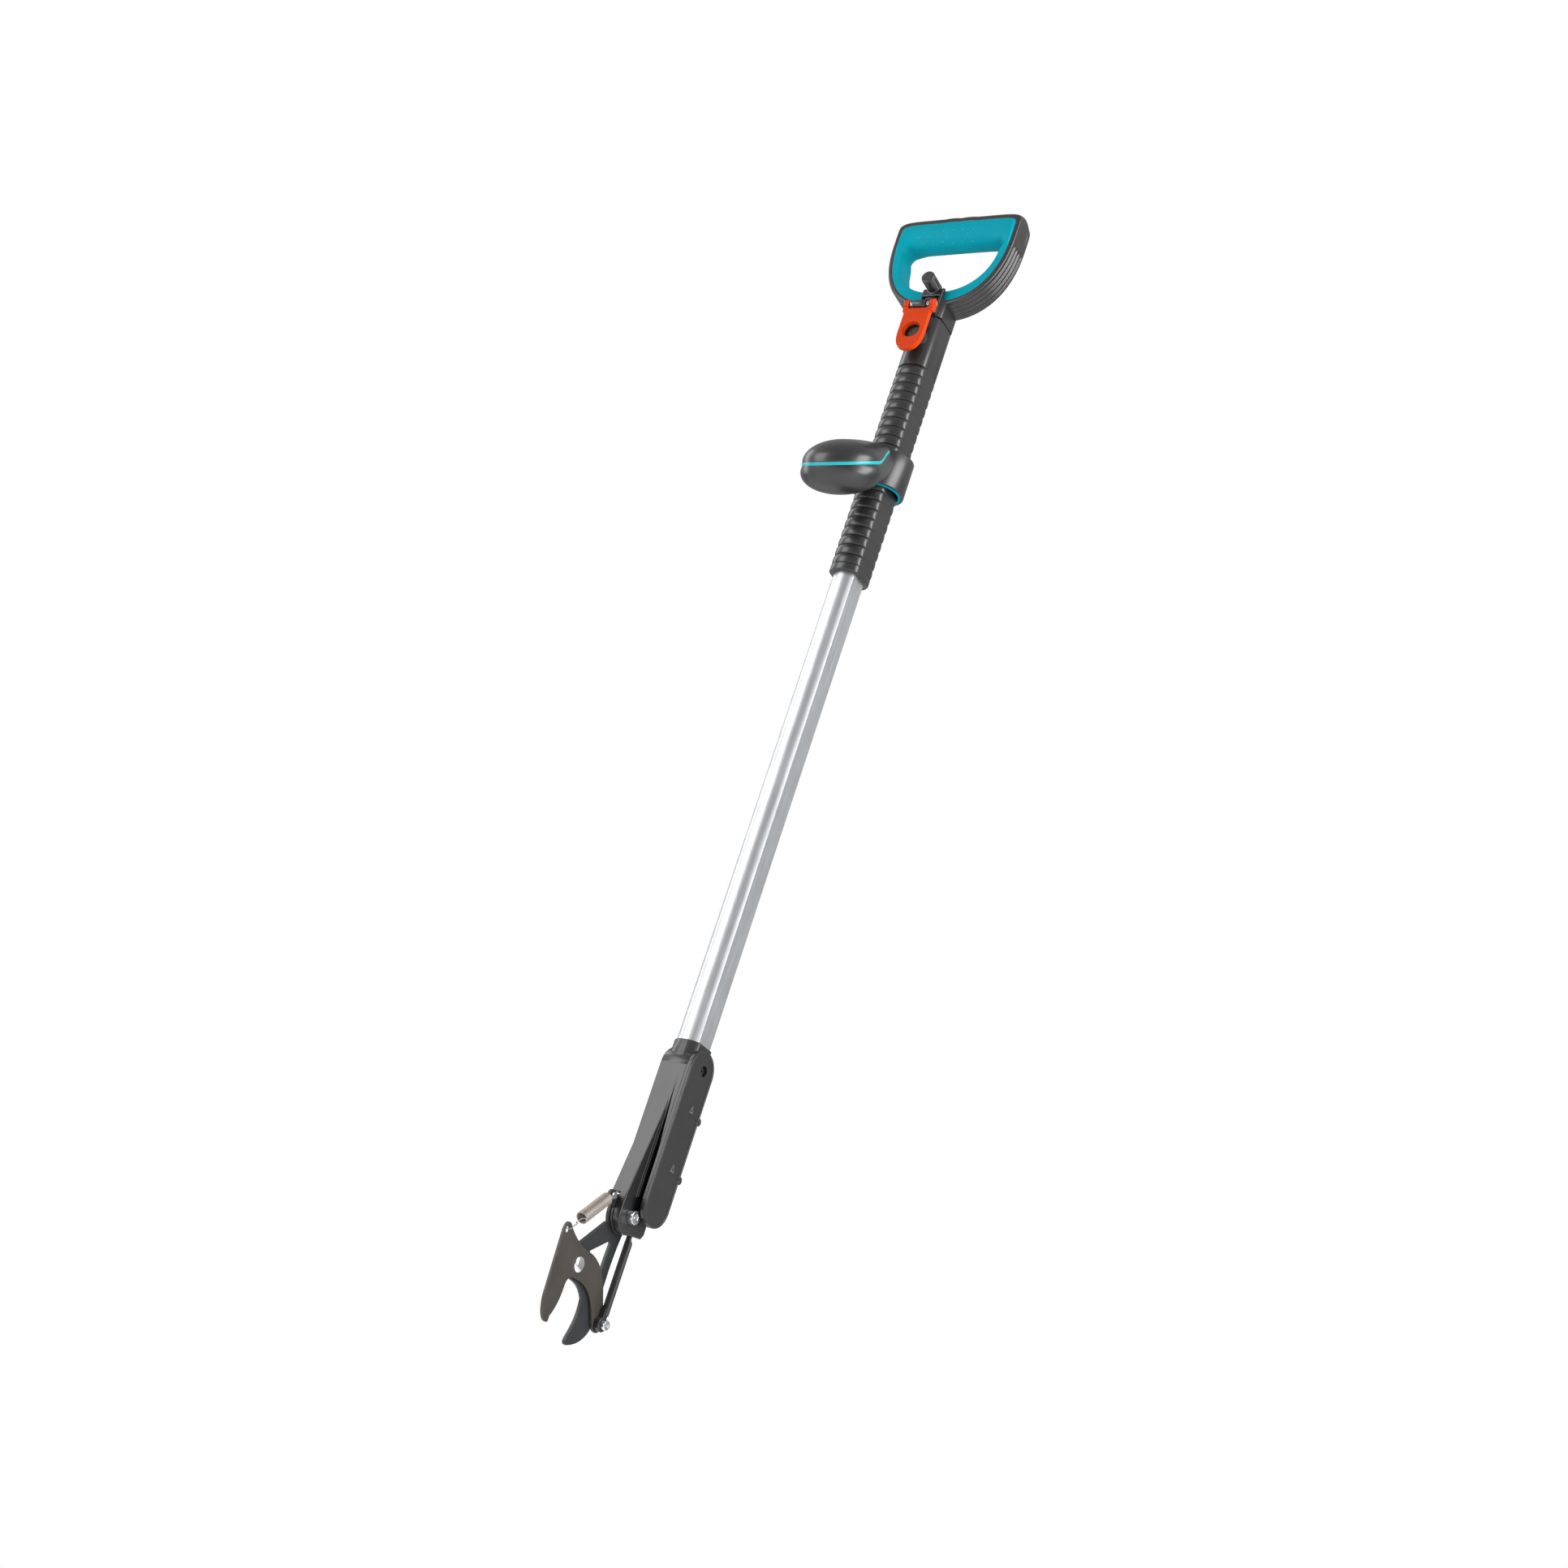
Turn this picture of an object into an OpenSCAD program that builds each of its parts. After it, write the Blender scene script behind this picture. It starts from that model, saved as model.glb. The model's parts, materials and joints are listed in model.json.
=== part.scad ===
// Tree pruner on a pole: a hooked cutting head, worked by a loop handle through a strap inside the tube.
// Millimetres. The pole stands along Z with its handle up and its cutter down. The front faces -Y,
// and every pin of the head lies along X.

/* [Pole] */
// Width of the tube across its flats
tube_flat = 24; // [22:0.5:28]
// Width of the tube across its round sides
tube_round = 31.2; // [29:0.2:36]
// Wall of the tube
tube_wall = 1.5; // [1.2:0.1:1.8]
// Bare tube above the holding point
upper_reach = 226.5; // [150:0.5:400]
// Bare tube below the holding point
lower_reach = 265; // [180:0.5:500]

/* [Grip sleeve] */
// Wall of the sleeve over the tube's flats
sleeve_side = 4.2; // [3:0.1:5]
// Wall of the sleeve over the tube's round sides
sleeve_front = 5.4; // [4:0.1:6]
// Number of grip ribs
rib_count = 22; // [16:1:28]
// Distance from one rib to the next
rib_pitch = 10.8; // [8:0.1:12]
// Depth of the grooves between the ribs
rib_depth = 1.4; // [0.8:0.1:2]
// Plain lip below the ribs
lip_height = 7.5; // [5:0.5:12]
// Smooth length above the ribs
smooth_length = 61; // [55:0.5:80]

/* [Loop handle] */
// Width of the loop
loop_width = 143; // [130:1:156]
// Height of the loop below its widest line
loop_drop = 91; // [88:1:96]
// Height of the loop above its widest line
loop_rise = 25; // [24:0.5:27]
// Depth of the loop
loop_depth = 28; // [26:0.5:31]
// Height of the arch across the top of the loop
loop_arch = 6.5; // [4:0.5:11]
// Thickness of the outer rim
rim_thick = 5; // [4:0.25:6]
// Width of the hand opening
opening_width = 114; // [104:1:117]
// Height of the hand opening under the bar
opening_height = 64.5; // [58:0.5:66]
// Diameter of the hand bar
bar_d = 32; // [29:0.5:33]
// Length of the stub between the sleeve and the loop
stub_length = 15.6; // [12:0.2:22]
// Length of the stem that runs in the tube
stem_length = 172; // [150:1:200]

/* [Transport lock] */
// Distance from the hinge to the hole of the hasp
hasp_reach = 32.6; // [30:0.2:35]
// Radius of the hole
hasp_hole_r = 8.4; // [8.2:0.1:9]
// Half width of the hasp
hasp_half = 15; // [14:0.25:17]
// Thickness of the hasp
hasp_thick = 5.6; // [4.5:0.1:6.5]
// Radius of the peg that the hasp drops over
peg_r = 7.2; // [5:0.1:7.3]
// Radius of the hinge pin
hasp_pin_r = 1.6; // [1.2:0.1:2]

/* [Palm pod] */
// Half width of the pod
pod_half_width = 38; // [34:0.5:42]
// Length of the pod in front of its widest line
pod_front = 38; // [34:0.5:44]
// Height of the pod above its middle plane
pod_crown = 23.5; // [21:0.5:26]
// Depth of the pod below its middle plane
pod_belly = 30; // [27:0.5:33]
// Distance from the axis of the pole to the widest line of the pod
pod_reach = 73.5; // [71:0.5:78]
// Drop from the middle of the ring to the widest line of the pod
pod_drop = 35.5; // [33:0.5:38]
// Tilt of the pod
pod_tilt = 35.5; // [32:0.5:38]
// Half width of the neck at the ring
neck_half_width = 17.5; // [15:0.5:20]
// Height of the ring
ring_height = 40.5; // [36:0.5:44]
// Wall of the ring outside its liner
ring_wall = 2.8; // [1.8:0.1:3.4]
// Tilt of the ring's two ends
ring_tilt = 6; // [0:0.5:8]
// Thickness of the stripe between the two shells
stripe_thick = 3; // [2:0.25:4]

/* [Head housing] */
// Length of the side cover
cover_length = 162; // [156:1:175]
// Width of the side cover
cover_width = 38.5; // [37:0.5:42]
// Thickness of the side cover
cover_thick = 5; // [4:0.25:6]
// Radius of the round end of the tongue
tongue_r = 16.2; // [16:0.1:17.5]
// Radius of the screw that holds the tube
tube_screw_r = 2.5; // [2:0.1:3]

/* [Strap drive] */
// Width of the strap
strap_w = 5; // [4:0.1:5]
// Thickness of the lower strap
strap_t = 2.5; // [2:0.1:2.8]
// Thickness of the upper strap
pull_t = 1.6; // [1.2:0.1:1.8]
// Radius of the pulley's groove
pulley_r = 6.2; // [5.6:0.1:6.4]
// Radius of the guide roller on the hub
roller_r = 13.7; // [13:0.1:14]

/* [Cutting head] */
// Thickness of the hook plate
plate_t = 3; // [2.5:0.1:3.4]
// Thickness of the blade
blade_t = 2.5; // [2:0.1:2.7]
// Radius of the pivot bolt's shank
pivot_r = 3.5; // [3:0.1:4]
// Radius of the hub screw's shank
hub_r = 3; // [2.5:0.1:3.4]
// Radius of the hub disc
disc_r = 16.3; // [15:0.1:17]
// Outside diameter of the return spring
spring_od = 11; // [9:0.2:11.6]
// Wire diameter of the return spring
spring_wire = 1.1; // [0.9:0.1:1.2]

/* [Hidden] */
$fn = 64;

// Common clearances and small amounts
snug = 0.05;
play = 0.4;
over = 1;
far = 400;

// Levels along the pole
sleeve_low = upper_reach;
ribs_low = sleeve_low + lip_height;
ribs_top = ribs_low + rib_count * rib_pitch;
sleeve_top = ribs_top + smooth_length;
tube_top = sleeve_top - 6;
collar_top = -lower_reach;
cover_top = collar_top - 5;
cover_low = cover_top - cover_length;
tube_low = collar_top - 35;

// Sections of the tube, the sleeve and the stem
tube_in_flat = tube_flat - 2 * tube_wall;
tube_in_round = tube_round - 2 * tube_wall;
sleeve_flat = tube_flat + 2 * sleeve_side;
sleeve_round = tube_round + 2 * sleeve_front;
stem_flat = tube_in_flat - 2 * play;
stem_round = tube_in_round - 2 * play;
stem_wall = 2.2;
sleeve_r = sleeve_round / 2;

// Loop handle
seam = 1.2;
stub_low = sleeve_top + seam;
loop_low = stub_low + stub_length;
loop_z = loop_low + loop_drop;
loop_half = loop_width / 2;
lower_power = 2.4;
upper_power = 6;
bar_z = loop_z + 9;
opening_top = bar_z - bar_d / 2;
opening_power = 2.3;
stub_top = loop_low + 7;
tenon_half = 7;
tenon_top = loop_low + 14;
stem_low = sleeve_top - stem_length;
plug_height = 24;
grip_proud = 0.6;
groove_step = 6;
groove_w = 1.6;
groove_d = 0.8;
stem_screw_x = 4;
stem_screw_z = loop_low + 10.4;
stem_screw_r = 1.6;
stem_screw_head = 3;

// Transport lock
hinge_y = -(sleeve_r + 12.2);
hinge_z = sleeve_top + 4;
hasp_front = hinge_y - hasp_thick / 2;
hasp_back = hinge_y + hasp_thick / 2;
hasp_chamfer = 1.6;
knuckle_half = 7;
knuckle_r = hasp_thick / 2 + 1.8;
ear_in = 12;
ear_out = hasp_half + 2.5;
ear_r = hasp_thick / 2 + 2.2;
hasp_end = hasp_reach + hasp_hole_r + 16;
hasp_neck = knuckle_r + 1.2;
riser_back = hasp_back + 5.5;
peg_z = hinge_z + hasp_reach;
peg_end = hasp_front - 1.5;
arm_in = 9;
arm_out = 12;
post_front = hasp_back + 8;
post_back = -(loop_depth / 2 + grip_proud + 0.1);
lock_wire = 0.9;
lock_coil_r = hasp_pin_r + 0.35 + lock_wire / 2;
lock_turns = 2.5;
lock_pitch = lock_wire + 0.55;

// Palm pod: a round ring on the sleeve, and a pod in a tilted frame whose Y runs back to the ring
ring_z = ribs_low + 113.5;
ring_in_r = sleeve_r + 0.5;
liner_t = 2.4;
liner_proud = 0.6;
ring_mid_r = ring_in_r + liner_t;
ring_out_r = ring_mid_r + ring_wall;
pod_back = 78;
pod_stations = 26;
pod_arc = 20;
neck_from = 69;
crown_reach = 86;
least_crown = 0.8;
belly_rise = 10;
bulge_angle = 21;
stripe_rise = 10.5;
rise_from = 8;
rise_length = 46;
stripe_proud = 0.4;
pod_screw_x = 17;
pod_screw_head = 3.6;
pod_screw_depth = 9;

// Head layers along X, and the hub in the housing
hub_y = -18;
hub_z = cover_low + 2;
layer_gap = 0.2;
wall_in = 4.6;
wall_out = wall_in + 2;
strap_x = wall_in - 0.3 - strap_w / 2;
disc_out = strap_x - strap_w / 2 - layer_gap;
disc_in = disc_out - 2.8;
plate_out = disc_in;
plate_in = plate_out - plate_t;
blade_out = disc_out - 0.1;
blade_in = blade_out - blade_t;
knob_out = plate_in - layer_gap;
knob_thick = 5;

// Housing
body_left = -14.5;
body_right = 14;
cover_out = body_right + cover_thick;
cover_r = cover_width / 2;
cover_y = -1;
wall = 3;
collar_wall = 1.8;
collar_skirt = 16;
tongue_left = -9.5;
cavity_top = tube_low - 4;
cavity_low = hub_z + 18;
head_room = 31;
head_clear = disc_r + 2.7;
panel_low = hub_z + 16;
cavity_right = 7.5;
slot_left = 8.7;
rim_w = 1.6;
rim_h = 0.6;
tube_screw_y = 2.4;
tube_screw_z = cover_top - 16.6;
screw_well_r = 5;
screw_seat = body_right - 1;
hook_z1 = cover_top - 58;
hook_z2 = cover_top - 112.5;
hook_bump = 3.6;
hook_out = 1.8;
mark_size = 7;
mark_line = 0.7;
mark_rib = 1.4;

// Strap and tackle
strap_y = hub_y + roller_r + 0.3 + strap_t / 2;
run = pulley_r + snug + pull_t / 2;
block_z = hub_z + 45;
live_y = strap_y - run;
dead_y = strap_y + run;
anchor_r = 1.5;
anchor_z = tube_low - 16;
axle_r = 2;
flange_r = pulley_r + pull_t + 1.2;
flange_t = 0.8;
pulley_half = strap_w / 2 + 0.3 + flange_t;
cheek_in = pulley_half + 0.2;
cheek_t = 1.5;
bridge_top = block_z - flange_r - 2.5;
bridge_h = 6;
bridge_low = bridge_top - bridge_h;
block_half = 6;
block_screw_r = 1.2;

// Cutting head, outlines as [Y, Z] from the hub
pivot = [-38, -55.5];
eye = [strap_y - hub_y, -91];
horn = [-68.5, -35.2];
lug = [-24, 10];
lug_r = 5;
post_r = 1.6;
eye_r = 6.4;
eye_boss_r = 8;
eye_pin_r = 2.5;
neck_top = 14;
neck_half = strap_t / 2 + 1.6;
eye_w = strap_w + 0.2;
bolt_head_r = 7;
bolt_dome = 2.6;
horn_hole_r = 3;
hook_back = 1.7;
mean_r = (spring_od - spring_wire) / 2;
spring_dir = horn - lug;
spring_len = norm(spring_dir);
spring_angle = atan2(spring_dir[1], spring_dir[0]);
coil_start = 6;
spring_tail = 3.4;
hook_gap = 0.5;
coil_end = spring_len - 16;
spring_pitch = spring_wire + 0.5;
spring_turns = floor((coil_end - coil_start) / spring_pitch);
spring_x = (blade_in + blade_out) / 2;

// A point list along a quarter-power curve: half width a, height b, power p, from angle t0 to t1
function power_arc(a, b, p, t0, t1, n) = [
    for (i = [0 : n])
        let (t = t0 + (t1 - t0) * i / n)
        [a * sign(cos(t)) * pow(abs(cos(t)), 2 / p), b * sign(sin(t)) * pow(abs(sin(t)), 2 / p)]
];

// A point list along a curve that leaves a toward b and arrives at c, without c itself
function bend(a, b, c, n) = [
    for (i = [0 : n - 1])
        let (t = i / n)
        (1 - t) * (1 - t) * a + 2 * t * (1 - t) * b + t * t * c
];

// Loop outline with the rim taken off by inset
function loop_outline(inset) = concat(
    power_arc(loop_half - inset, loop_rise - inset, upper_power, 0, 180, 28),
    power_arc(loop_half - inset, loop_drop - inset, lower_power, 187, 353, 36)
);

// Taller outline that the arch over the loop's top is cut from
function arch_outline() = power_arc(loop_half, loop_rise + loop_arch, upper_power, 0, 180, 28);

// Hand opening below the bar
function opening_outline() = power_arc(
    opening_width / 2, opening_height, opening_power, 180, 360, 32);

// A round tube along the points of a path
module wire(path, d) {
    sides = 6;
    count = len(path);
    frames = [
        for (i = [0 : count - 1])
            let (a = path[max(i - 1, 0)], b = path[min(i + 1, count - 1)], t = (b - a) / norm(b - a))
            let (side = cross(t, [0.0123, 0.0077, 1]), u = side / norm(side), v = cross(t, u))
            [u, v]
    ];
    points = [
        for (i = [0 : count - 1])
            for (k = [0 : sides - 1])
                path[i] + d / 2 * (cos(360 * k / sides) * frames[i][0] + sin(360 * k / sides) * frames[i][1])
    ];
    walls = [
        for (i = [0 : count - 2])
            for (k = [0 : sides - 1])
                let (a = i * sides + k, b = i * sides + (k + 1) % sides)
                each [[a, b, b + sides], [a, b + sides, a + sides]]
    ];
    first = [for (k = [1 : sides - 2]) [0, k + 1, k]];
    base = (count - 1) * sides;
    last = [for (k = [1 : sides - 2]) [base, base + k, base + k + 1]];
    polyhedron(points, concat(walls, first, last));
}

// A coil along Z with a straight end, one wire diameter long, at each end
function coil_path(r, pitch, turns, d) = concat(
    [[r, -d, 0]],
    [for (i = [0 : 8 * turns])
        let (t = i / 8)
        [r * cos(360 * t), r * sin(360 * t), pitch * t]],
    [[r * cos(360 * turns) - d * sin(360 * turns),
      r * sin(360 * turns) + d * cos(360 * turns), pitch * turns]]
);

// Least gap between neighbouring curls, measured between points of the path
function coil_gap(path, d) = min([
    for (i = [0 : len(path) - 1])
        for (j = [i + 5 : min(i + 12, len(path) - 1)])
            norm(path[i] - path[j])
]) - d;

// Section with two flats and two round sides
module section(flat, round_width) {
    intersection() {
        circle(d = round_width);
        square([flat, round_width + over], center = true);
    }
}

// Extrude an outline drawn as [Y, Z] along X
module along_x(low, high) {
    translate([low, 0, 0]) rotate([90, 0, 90]) linear_extrude(high - low) children();
}

// Extrude an outline drawn as [X, Z] along Y
module along_y(low, high) {
    translate([0, high, 0]) rotate([90, 0, 0]) linear_extrude(high - low) children();
}

// Round bar along X
module bar_x(low, high, y, z, r) {
    translate([low, y, z]) rotate([0, 90, 0]) cylinder(r = r, h = high - low);
}

// Round bar along Y
module bar_y(low, high, x, z, r) {
    translate([x, high, z]) rotate([90, 0, 0]) cylinder(r = r, h = high - low);
}

// Block between two corners
module block(low, high) {
    translate(low) cube(high - low);
}

// Place a head part drawn from the hub
module at_hub() {
    translate([0, hub_y, hub_z]) children();
}

// Place a pod part in its tilted frame
module at_pod() {
    translate([0, -pod_reach, ring_z - pod_drop]) rotate([pod_tilt, 0, 0]) children();
}

// Outline of the whole sleeve or stub
module sleeve_prism(low, high) {
    translate([0, 0, low]) linear_extrude(high - low) section(sleeve_flat, sleeve_round);
}

module pole_tube() {
    color("silver") difference() {
        translate([0, 0, tube_low]) linear_extrude(tube_top - tube_low) difference() {
            section(tube_flat, tube_round);
            section(tube_in_flat, tube_in_round);
        }
        bar_x(-tube_flat, tube_flat, tube_screw_y, tube_screw_z, tube_screw_r + snug);
    }
}

module grip_sleeve() {
    land = rib_pitch * 0.55;
    groove = rib_pitch - land;
    color("dimgray") difference() {
        sleeve_prism(sleeve_low, sleeve_top);
        translate([0, 0, sleeve_low - over]) linear_extrude(tube_top - sleeve_low + over + snug)
            section(tube_flat + 2 * snug, tube_round + 2 * snug);
        translate([0, 0, tube_top - over]) linear_extrude(sleeve_top - tube_top + 2 * over)
            section(tube_in_flat, tube_in_round);
        for (i = [0 : rib_count - 1])
            translate([0, 0, ribs_low + i * rib_pitch + land / 2]) linear_extrude(groove) difference() {
                circle(d = sleeve_round + 2 * over);
                circle(d = sleeve_round - 2 * rib_depth);
            }
    }
}

module hasp_bracket() {
    color("dimgray") difference() {
        union() {
            block([-knuckle_half, hasp_back + 0.9, sleeve_top - 26], [knuckle_half, riser_back, hinge_z + 4]);
            block([-knuckle_half, riser_back - over, sleeve_top - 26],
                  [knuckle_half, -sleeve_r + 4, sleeve_top - 2]);
            block([-knuckle_half, hinge_y, hinge_z - 3], [knuckle_half, riser_back, hinge_z + 3]);
            bar_x(-knuckle_half, knuckle_half, hinge_y, hinge_z, knuckle_r);
            bar_y(hasp_back + 0.9, -sleeve_r + 4, 0, hinge_z - hasp_reach, hasp_hole_r + 3);
        }
        sleeve_prism(sleeve_low, sleeve_top);
        bar_x(-far, far, hinge_y, hinge_z, hasp_pin_r + snug);
    }
}

module hasp_springs() {
    path = coil_path(lock_coil_r, lock_pitch, lock_turns, lock_wire);
    room = (ear_in - knuckle_half - lock_turns * lock_pitch) / 2;
    echo(lock_spring_gap = coil_gap(path, lock_wire));
    color("lightgray") for (side = [-1, 1])
        translate([side * (knuckle_half + room), hinge_y, hinge_z])
            rotate([0, side * 90, 0]) rotate([0, 0, 90]) wire(path, lock_wire);
}

module lock_hasp() {
    color("orangered") difference() {
        union() {
            along_y(hasp_front, hasp_back) polygon(concat(
                [[hasp_half, hinge_z - hasp_neck]],
                [[-hasp_half, hinge_z - hasp_neck]],
                bend([-hasp_half, hinge_z - hasp_end + 22], [-hasp_half, hinge_z - hasp_end],
                     [0, hinge_z - hasp_end], 10),
                bend([0, hinge_z - hasp_end], [hasp_half, hinge_z - hasp_end],
                     [hasp_half, hinge_z - hasp_end + 22], 10),
                [[hasp_half, hinge_z - hasp_end + 22]]));
            for (side = [-1, 1]) {
                low = side > 0 ? ear_in : -ear_out;
                bar_x(low, low + ear_out - ear_in, hinge_y, hinge_z, ear_r);
                block([low, hasp_front, hinge_z - hasp_neck - 4],
                      [low + ear_out - ear_in, hasp_back, hinge_z]);
            }
        }
        bar_y(-far, far, 0, hinge_z - hasp_reach, hasp_hole_r);
        translate([0, hasp_front, hinge_z - hasp_reach]) rotate([-90, 0, 0])
            cylinder(r1 = hasp_hole_r + hasp_chamfer, r2 = hasp_hole_r, h = hasp_chamfer);
        bar_x(-far, far, hinge_y, hinge_z, hasp_pin_r);
    }
}

module hasp_pin() {
    color("gainsboro") bar_x(-ear_out - 0.4, ear_out + 0.4, hinge_y, hinge_z, hasp_pin_r);
}

module loop_solid(inset, half_depth) {
    along_y(-half_depth, half_depth) translate([0, loop_z]) polygon(loop_outline(inset));
}

// Arch across the top of the loop, round from its front to its back
module loop_arch_solid() {
    half_depth = loop_depth / 2;
    arch_r = (half_depth * half_depth + loop_arch * loop_arch) / (2 * loop_arch);
    intersection() {
        bar_x(-loop_half, loop_half, 0, loop_z + loop_rise + loop_arch - arch_r, arch_r);
        along_y(-half_depth, half_depth) translate([0, loop_z]) polygon(arch_outline());
        block([-far, -far, loop_z + loop_rise / 2], [far, far, far * 2]);
    }
}

module stub_room() {
    sleeve_prism(stub_low - over, stub_top);
    block([-tenon_half, -tenon_half, stub_top - over], [tenon_half, tenon_half, tenon_top]);
}

module stem_screw_room() {
    for (side = [-1, 1]) {
        bar_y(-tenon_half + over, far, side * stem_screw_x, stem_screw_z, stem_screw_r);
        bar_y(loop_depth / 2 - 2, far, side * stem_screw_x, stem_screw_z, stem_screw_head);
    }
}

module handle_frame() {
    color("dimgray") difference() {
        union() {
            loop_solid(0, loop_depth / 2);
            loop_arch_solid();
        }
        loop_solid(rim_thick, loop_depth);
        for (step = [-1 : 1])
            translate([0, step * groove_step, 0]) difference() {
                loop_solid(-over, groove_w / 2);
                loop_solid(groove_d, loop_depth);
                block([-far, -far, loop_z + 4], [far, far, far * 2]);
                block([-loop_half * 0.55, -far, 0], [loop_half * 0.55, far, loop_z]);
            }
        stub_room();
        stem_screw_room();
    }
}

module handle_grip() {
    half_depth = loop_depth / 2 + grip_proud;
    color("darkcyan") difference() {
        union() {
            loop_solid(rim_thick, half_depth);
            intersection() {
                bar_x(-loop_half, loop_half, 0, bar_z, bar_d / 2);
                loop_solid(rim_thick, loop_depth);
            }
        }
        along_y(-loop_depth, loop_depth) translate([0, opening_top]) polygon(opening_outline());
        for (side = [-1, 1])
            intersection() {
                difference() {
                    block([-opening_width / 2, side > 0 ? 0 : -far, opening_top - over],
                          [opening_width / 2, side > 0 ? far : 0, loop_z + loop_rise]);
                    bar_x(-loop_half, loop_half, 0, bar_z, bar_d / 2);
                }
                block([-opening_width / 2, -loop_depth, 0], [opening_width / 2, loop_depth, far * 2]);
            }
        stub_room();
        stem_screw_room();
    }
}

module handle_stem() {
    color("gray") difference() {
        union() {
            sleeve_prism(stub_low, stub_top);
            block([-tenon_half, -tenon_half, stub_top - over], [tenon_half, tenon_half, tenon_top]);
            translate([0, 0, stem_low]) linear_extrude(stub_low + over - stem_low)
                section(stem_flat, stem_round);
        }
        translate([0, 0, stem_low + plug_height]) linear_extrude(sleeve_top - 12 - stem_low - plug_height)
            section(stem_flat - 2 * stem_wall, stem_round - 2 * stem_wall);
        block([strap_x - strap_w / 2 - play, -far, stem_low - over],
              [strap_x + strap_w / 2 + play, live_y + 5, stem_low + 13]);
        bar_x(-far, far, live_y, stem_low + 7, anchor_r);
        stem_screw_room();
    }
}

module lock_post() {
    arm = [
        [-sleeve_r + 6, stub_low + 1], [post_front, stub_low + 1], [post_front, stub_low + 9],
        [post_front + 2, stub_low + 15], [post_front + 2, peg_z - 3], [post_front + 4, peg_z],
        [post_back, peg_z], [post_back, stub_low + 20]
    ];
    color("dimgray") difference() {
        union() {
            for (low = [-arm_out, arm_in]) along_x(low, low + arm_out - arm_in) polygon(arm);
            block([-arm_in - over, post_front + 2, peg_z - peg_r - 4], [arm_in + over, post_back, peg_z - 3]);
            bar_y(peg_end, post_back, 0, peg_z, peg_r);
        }
        sleeve_prism(stub_low - over, stub_top);
    }
}

module stem_screws() {
    color("gainsboro") for (side = [-1, 1]) {
        bar_y(-tenon_half + over, loop_depth / 2 - over, side * stem_screw_x, stem_screw_z, stem_screw_r);
        bar_y(loop_depth / 2 - 2, loop_depth / 2 - 0.4, side * stem_screw_x, stem_screw_z, stem_screw_head);
    }
}

module strap_pin() {
    reach = sqrt(pow(stem_round / 2, 2) - pow(abs(live_y) + anchor_r, 2)) - play;
    pin = min(reach, stem_flat / 2);
    color("gainsboro") bar_x(-pin, pin, live_y, stem_low + 7, anchor_r);
}

module strap_band(z, y, low, high, r) {
    difference() {
        bar_x(low, high, y, z, r + pull_t);
        bar_x(low - over, high + over, y, z, r);
    }
}

module upper_strap() {
    low = strap_x - strap_w / 2;
    high = strap_x + strap_w / 2;
    color("black") {
        difference() {
            union() {
                block([low, live_y - pull_t / 2, block_z],
                      [high, live_y + pull_t / 2, stem_low + 7 - anchor_r]);
                block([low, dead_y - pull_t / 2, block_z], [high, dead_y + pull_t / 2, anchor_z - anchor_r]);
                bar_x(low, high, live_y, stem_low + 7, anchor_r + snug + pull_t);
                bar_x(low, high, dead_y, anchor_z, anchor_r + snug + pull_t);
                difference() {
                    strap_band(block_z, strap_y, low, high, pulley_r + snug);
                    block([low - over, -far, block_z], [high + over, far, block_z + far]);
                }
            }
            bar_x(low - over, high + over, live_y, stem_low + 7, anchor_r + snug);
            bar_x(low - over, high + over, dead_y, anchor_z, anchor_r + snug);
        }
    }
}

// A smooth step from 0 to 1
function ease(t) = let (u = min(max(t, 0), 1)) u * u * (3 - 2 * u);

// Roundness of the pod's front: 1 at its middle, 0 at its front end
function front_share(y) = y < 0 ? sqrt(max(0, 1 - pow(y / pod_front, 2))) : 1;

// A step from 0 to 1 that starts softly and then runs straight
function draw_in(t) = let (u = min(t, 1)) 1.25 * u * u / (u + 0.25);

// Half width of the pod, height of its parting line, and the heights of its shells, at a place along it
function pod_width(y) = y < 0 ? pod_half_width * front_share(y)
    : pod_half_width + (neck_half_width - pod_half_width) * draw_in(y / neck_from);
function part_line(y) = stripe_rise * ease((y - rise_from) / rise_length);
function crown(y) = y < 0 ? (pod_crown - stripe_thick / 2) * front_share(y)
    : max(least_crown, pod_crown * sqrt(1 - pow(y / crown_reach, 2.5)) - part_line(y) - stripe_thick / 2);
function belly(y) = y < 0 ? (pod_belly - stripe_thick / 2) * pow(front_share(y), 0.7)
    : pod_belly + part_line(y) - stripe_thick / 2 - belly_rise * ease(y / neck_from);

// Half of a section of the pod: a half ellipse above, and below a fuller one that bulges under the stripe
function upper_half(w, h) = power_arc(w, h, 2, 0, 180, pod_arc);
function lower_half(w, h) = [
    for (i = [0 : pod_arc])
        let (t = bulge_angle - (180 + 2 * bulge_angle) * i / pod_arc)
        [-w * cos(t) / cos(bulge_angle), h * (sin(t) - sin(bulge_angle)) / (1 + sin(bulge_angle))]
];

// Places along the pod, closer together toward its front end
pod_places = [
    for (i = [0 : pod_stations])
        let (t = i / pod_stations)
        t < 0.5 ? -pod_front * cos(180 * t) * 0.999 : pod_back * (2 * t - 1)
];

// A closed skin over rings of points that all have the same count
module skin(rings) {
    n = len(rings[0]);
    m = len(rings);
    walls = [
        for (i = [0 : m - 2])
            for (k = [0 : n - 1])
                let (a = i * n + k, b = i * n + (k + 1) % n)
                each [[a, b, b + n], [a, b + n, a + n]]
    ];
    first = [for (k = [n - 1 : -1 : 0]) k];
    last = [for (k = [0 : n - 1]) (m - 1) * n + k];
    polyhedron([for (r = rings) each r], concat(walls, [first, last]));
}

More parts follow.
